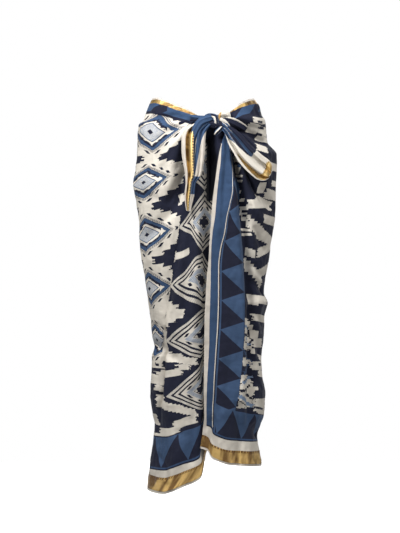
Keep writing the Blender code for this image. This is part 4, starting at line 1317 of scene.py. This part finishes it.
def make_borders(wrap, wrap_normal, angles, looks):
    """The border that stands up behind the folded waist edge, in two halves, each with its ribbon."""
    foot = height_at(angles[0], 0.0)
    top = foot + UPSTAND_HEIGHT(from_front(angles[0]))
    shares = np.linspace(0, 1, BORDER_STEPS + 1)[:-1]
    above = [cloth_points(angles[0], top + (foot - top) * share) for share in shares]
    behind = slice(0, BORDER_REACH + 1)
    grid = np.concatenate([np.array(above), wrap[behind]])
    normal = np.concatenate([np.repeat(wrap_normal[:1], BORDER_STEPS, axis=0), wrap_normal[behind]])
    grid = grid + normal * BORDER_LEAN * np.clip(foot - grid[..., 2], -BORDER_DROP, 0)[..., None]
    place = np.stack([arc(grid, 1), arc(grid, 0), np.full(grid.shape[:2], FAR_OFF)], axis=-1)
    rows = slice(BORDER_SELVAGE_STEPS, None)
    for side, start, stop in BORDERS:
        first, last = (int(np.abs(angles[0] - angle).argmin()) for angle in (start, stop))
        part = slice(first, last + 1)
        border = drawn_in(grid[:, part], side == "left", side == "right")
        ribbon = make_ribbon(
            f"waist_gold_{side}", border[rows], normal[rows, part], -(SHEET + GAP),
            {"cloth": place[rows, part]}, looks, f"waist_ribbon_{side}",
        )
        piece = shell(
            f"waist_cream_{side}", border - normal[:, part] * (SHEET + 2 * GAP + RIBBON), normal[:, part],
            SHEET, {"cloth": place[:, part]}, looks["cream"], f"waist_border_{side}",
        )


def tail_points(rows, pleats):
    """A tail's outer points, ring by ring from the knot to the tip, and each ring's and column's share."""
    fine = places_between(rows, TAIL_STEPS)[:, None]
    first_x, first_z, last_x, last_z, stand_off, depth = between_rows(rows, fine)
    share = np.linspace(0, 1, TAIL_COLUMNS + 1)
    fine_pleats = FINE_PLEAT * np.sin(share * FINE_PLEATS + fine * FINE_SWAY)
    out = stand_off + (smooth_curve(pleats)(share) + fine_pleats) * depth
    across = first_x + (last_x - first_x) * share
    height = first_z + (last_z - first_z) * share
    return body_points(angle_across(across, height, out), height, out), fine / (len(rows) - 1), share


def make_tail(side, rows, pleats, print_tail, looks):
    """A pleated corner of the cloth that hangs from the knot, with its ribbon."""
    grid, along, share = tail_points(rows, pleats)
    round_it, up, edge, ribbon, run = print_tail(grid, along, share)
    data = {
        "cloth": np.stack([round_it, up, np.full(up.shape, FAR_OFF)], axis=-1),
        "edge": edge,
        "band": np.full(edge.shape, TAIL_BAND),
    }
    piece = shell(f"tail_{side}_voile", grid, out_of(grid), SHEET, data, looks["print"], f"tail_{side}")
    # The tails' ribbons get a painted highlight across part of their width.
    low, high, strength = TAIL_SHINE[side]
    shine = strength * ease(low, high, (run - RIBBON_FOOT) / (RIBBON_TOP - RIBBON_FOOT))
    data = {"cloth": np.stack([arc(ribbon, 0) + TAIL_RIBBON_START, run, run], axis=-1), "shine": shine}
    gold = make_ribbon(
        f"tail_{side}_gold", ribbon, out_of(ribbon), GAP + RIBBON, data, looks, f"tail_ribbon_{side}",
    )


def left_tail(grid, along, share):
    """The left tail's print, its ribbon's points, and how far up the ribbon each of them is."""
    along = along[:, 0]
    blues = zip(*(curve(along) for curve in curves(LEFT_BLUE)))
    across = np.array([
        np.interp(share, (0, *blue, LEFT_PRINT_END), (0, *LEFT_BLUE_PRINT, 1.0)) for blue in blues
    ])
    up, edge = (curve(across) for curve in curves(LEFT_PRINT))
    first, last, from_share = LEFT_PATCH
    patch = ((along > first) & (along < last))[:, None] & (share > from_share)
    up, edge = np.where(patch, TAIL_PRINT, up), np.where(patch, LEFT_PATCH_EDGE, edge)
    rings = slice(*(round(ring * TAIL_STEPS / 2) for ring in LEFT_GOLD_RINGS))
    ribbon = grid[rings, slice(*LEFT_GOLD_COLUMNS)]
    run = np.linspace(RIBBON_FOOT, RIBBON_TOP, ribbon.shape[1])[None] + 0 * ribbon[..., 0]
    return arc(grid, 0), up, edge, ribbon, run


def right_tail(grid, along, share):
    """The same for the right tail. Its ribbon runs inside the lower edge and round the end."""
    inside = share[None] > smooth_curve(RIGHT_BLUE)(along)
    up = np.where(inside, TAIL_PRINT, RIGHT_PLAIN)
    edge = np.where(inside, smooth_curve(RIGHT_STREAKS)(share)[None], FAR_OFF)
    fine = places_between(RIGHT_GOLD, RIGHT_GOLD_STEPS)[:, None]
    outer_along, outer_share, inner_along, inner_share = between_rows(RIGHT_GOLD, fine)
    inward = np.linspace(0, 1, RIGHT_GOLD_COLUMNS)
    ring = (outer_along + (inner_along - outer_along) * inward) * (grid.shape[0] - 1)
    column = (outer_share + (inner_share - outer_share) * inward) * (grid.shape[1] - 1)
    run = np.linspace(RIBBON_FOOT, RIBBON_TOP, RIGHT_GOLD_COLUMNS)[None] + 0 * ring
    return arc(grid, 1), up, edge, sampled(grid, ring, column), run


def sampled(grid, ring, column):
    """The grid's points at places between its rings and columns."""
    r = np.clip(ring.astype(int), 0, grid.shape[0] - 2)
    c = np.clip(column.astype(int), 0, grid.shape[1] - 2)
    a, b = (ring - r)[..., None], (column - c)[..., None]
    low = grid[r, c] * (1 - b) + grid[r, c + 1] * b
    high = grid[r + 1, c] * (1 - b) + grid[r + 1, c + 1] * b
    return low * (1 - a) + high * a


def strand_grid(half_width, half_depth, pleats, twist, points):
    """The rings of one pleated strand of the knot, each open by one side, and their shares of its length."""
    share = np.linspace(0, 1, STRAND_RINGS)
    x, y, out = between_rows(points, share * (len(points) - 1))
    across, height = on_photo(x, y)
    path = body_points(angle_across(across, height, out), height, out)
    ahead = unit(np.gradient(path, axis=0))
    side = unit(np.cross(ahead, (0, -1, 0)))
    outward = np.cross(side, ahead)
    share = share[:, None]
    size = STRAND_TIP + (1 - STRAND_TIP) * np.sin(np.pi * share) ** STRAND_BLUNT
    turn = np.linspace(0, 2 * np.pi, STRAND_SIDES + 1)[None, :-1]
    swirl = turn * pleats + twist * share * 2 * np.pi
    size = size * (1 + sum(depth * np.sin(times * swirl + start) for depth, times, start in STRAND_PLEATS))
    wide = (half_width * size * np.cos(turn))[..., None] * side[:, None]
    deep = (half_depth * size * np.sin(turn))[..., None] * outward[:, None]
    return path[:, None] + wide + deep, share, turn


def strand_map(number):
    """A strand's own column of the square for baking, with its two ends under it."""
    cell = 1 / len(KNOT_STRANDS)
    low, wide = number * cell + MAP_MARGIN, cell - 2 * MAP_MARGIN
    ring, side = np.divmod(np.arange((STRAND_RINGS - 1) * STRAND_SIDES), STRAND_SIDES)
    corner_rings = np.stack([ring, ring, ring + 1, ring + 1], axis=-1) / (STRAND_RINGS - 1)
    corner_sides = np.stack([side, side + 1, side + 1, side], axis=-1) / STRAND_SIDES
    places = [low + wide * corner_sides, STRAND_FOOT + STRAND_HEIGHT * corner_rings]
    turn = np.linspace(0, 2 * np.pi, STRAND_SIDES, endpoint=False)
    first, last = (
        np.column_stack([low + wide * (0.5 + END_SIZE[0] * np.cos(turn)), up + END_SIZE[1] * np.sin(turn)])
        for up in END_PLACES
    )
    return [np.stack(places, axis=-1).reshape(-1, 2), first[::-1], last]


def make_knot(look):
    """The knot: pleated strands that lie over and under one another."""
    skins, faces, places, edges, maps = [], [], [], [], []
    for number, (*form, (ups, off_edge, below), points) in enumerate(KNOT_STRANDS):
        grid, share, turn = strand_grid(*form, points)
        index = np.arange(STRAND_RINGS * STRAND_SIDES).reshape(STRAND_RINGS, STRAND_SIDES)
        index += number * index.size
        after = np.roll(index, -1, axis=1)
        quads = np.stack([index[:-1], after[:-1], after[1:], index[1:]], axis=-1).reshape(-1, 4)
        faces += [*quads.tolist(), index[0, ::-1].tolist(), index[-1].tolist()]
        swirl = (0.5 - 0.5 * np.cos(turn) + form[-1] * STRAND_SWIRL * share) % 1.0
        u = STRAND_PRINT * share + 0 * turn
        v, edge = (low + (high - low) * swirl for low, high in (ups, off_edge))
        skins.append(grid.reshape(-1, 3))
        places.append(np.stack([u, v, np.full(u.shape, below)], axis=-1).reshape(-1, 3))
        edges.append(edge.reshape(-1, 1))
        maps += strand_map(number)
    edge = np.concatenate(edges)
    data = {"cloth": np.concatenate(places), "edge": edge, "band": np.full(edge.shape, TAIL_BAND)}
    make_piece("knot_strands", np.concatenate(skins), faces, maps, data, look, "knot")


def make_floor():
    bpy.ops.mesh.primitive_circle_add(
        vertices=FLOOR_SIDES, radius=FLOOR_RADIUS, fill_type="NGON", location=(0, 0, FLOOR_HEIGHT),
    )
    floor = bpy.context.object
    floor.name = "floor"
    material, _, shader = new_material("pale_floor", FLOOR_ROUGHNESS)
    shader.inputs["Base Color"].default_value = (FLOOR_GREY, FLOOR_GREY, FLOOR_GREY, 1)
    shader.inputs["Emission Color"].default_value = WHITE
    shader.inputs["Emission Strength"].default_value = FLOOR_GLOW
    floor.data.materials.append(material)
    floor.visible_diffuse = False


def make_lights():
    """The lamps, and a world that looks white and gives a soft light."""
    world = bpy.data.worlds.new("studio")
    world.use_nodes = True
    nodes, links = world.node_tree.nodes, world.node_tree.links
    light = nodes["Background"]
    light.inputs["Color"].default_value = WHITE
    light.inputs["Strength"].default_value = WORLD_LIGHT
    paper = nodes.new("ShaderNodeBackground")
    paper.inputs["Color"].default_value = WHITE
    rays = nodes.new("ShaderNodeLightPath")
    either = nodes.new("ShaderNodeMixShader")
    links.new(rays.outputs["Is Camera Ray"], either.inputs[0])
    links.new(light.outputs[0], either.inputs[1])
    links.new(paper.outputs[0], either.inputs[2])
    links.new(either.outputs[0], nodes["World Output"].inputs["Surface"])
    bpy.context.scene.world = world
    for name, place, size, power in LIGHTS:
        data = bpy.data.lights.new(name, "AREA")
        data.size = size
        data.energy = power
        lamp = bpy.data.objects.new(name, data)
        lamp.location = place
        lamp.rotation_euler = (Vector(CAMERA_AIM) - Vector(place)).to_track_quat("-Z", "Y").to_euler()
        bpy.context.scene.collection.objects.link(lamp)


def make_camera():
    data = bpy.data.cameras.new("camera")
    data.sensor_width = SENSOR
    data.lens = SENSOR * CAMERA_AWAY / SEEN_HEIGHT
    camera = bpy.data.objects.new("camera", data)
    camera.location = (CAMERA_AIM[0], CAMERA_AIM[1] - CAMERA_AWAY, CAMERA_AIM[2])
    camera.rotation_euler = (math.pi / 2, 0, 0)
    bpy.context.scene.collection.objects.link(camera)
    bpy.context.scene.camera = camera
    bpy.context.scene.view_settings.view_transform = "Standard"


def main():
    layout = lay_out_wrap()
    grid, normal, angles, _, place, *_ = layout
    foot, beside = patches_on(grid, place, False, UNDER_PATCHES), patches_on(grid, place, True, OVER_PATCHES)
    looks = {
        "print": ("printed_voile", make_print(foot, beside)),
        "cream": ("plain_border", make_cream()),
        "gold": ("gold_ribbon", make_gold()),
    }
    make_wrap(layout, looks)
    make_borders(grid, normal, angles, looks)
    make_knot(looks["print"])
    make_tail("left", LEFT_TAIL, LEFT_PLEATS, left_tail, looks)
    make_tail("right", RIGHT_TAIL, RIGHT_PLEATS, right_tail, looks)
    make_floor()
    make_lights()
    make_camera()


main()
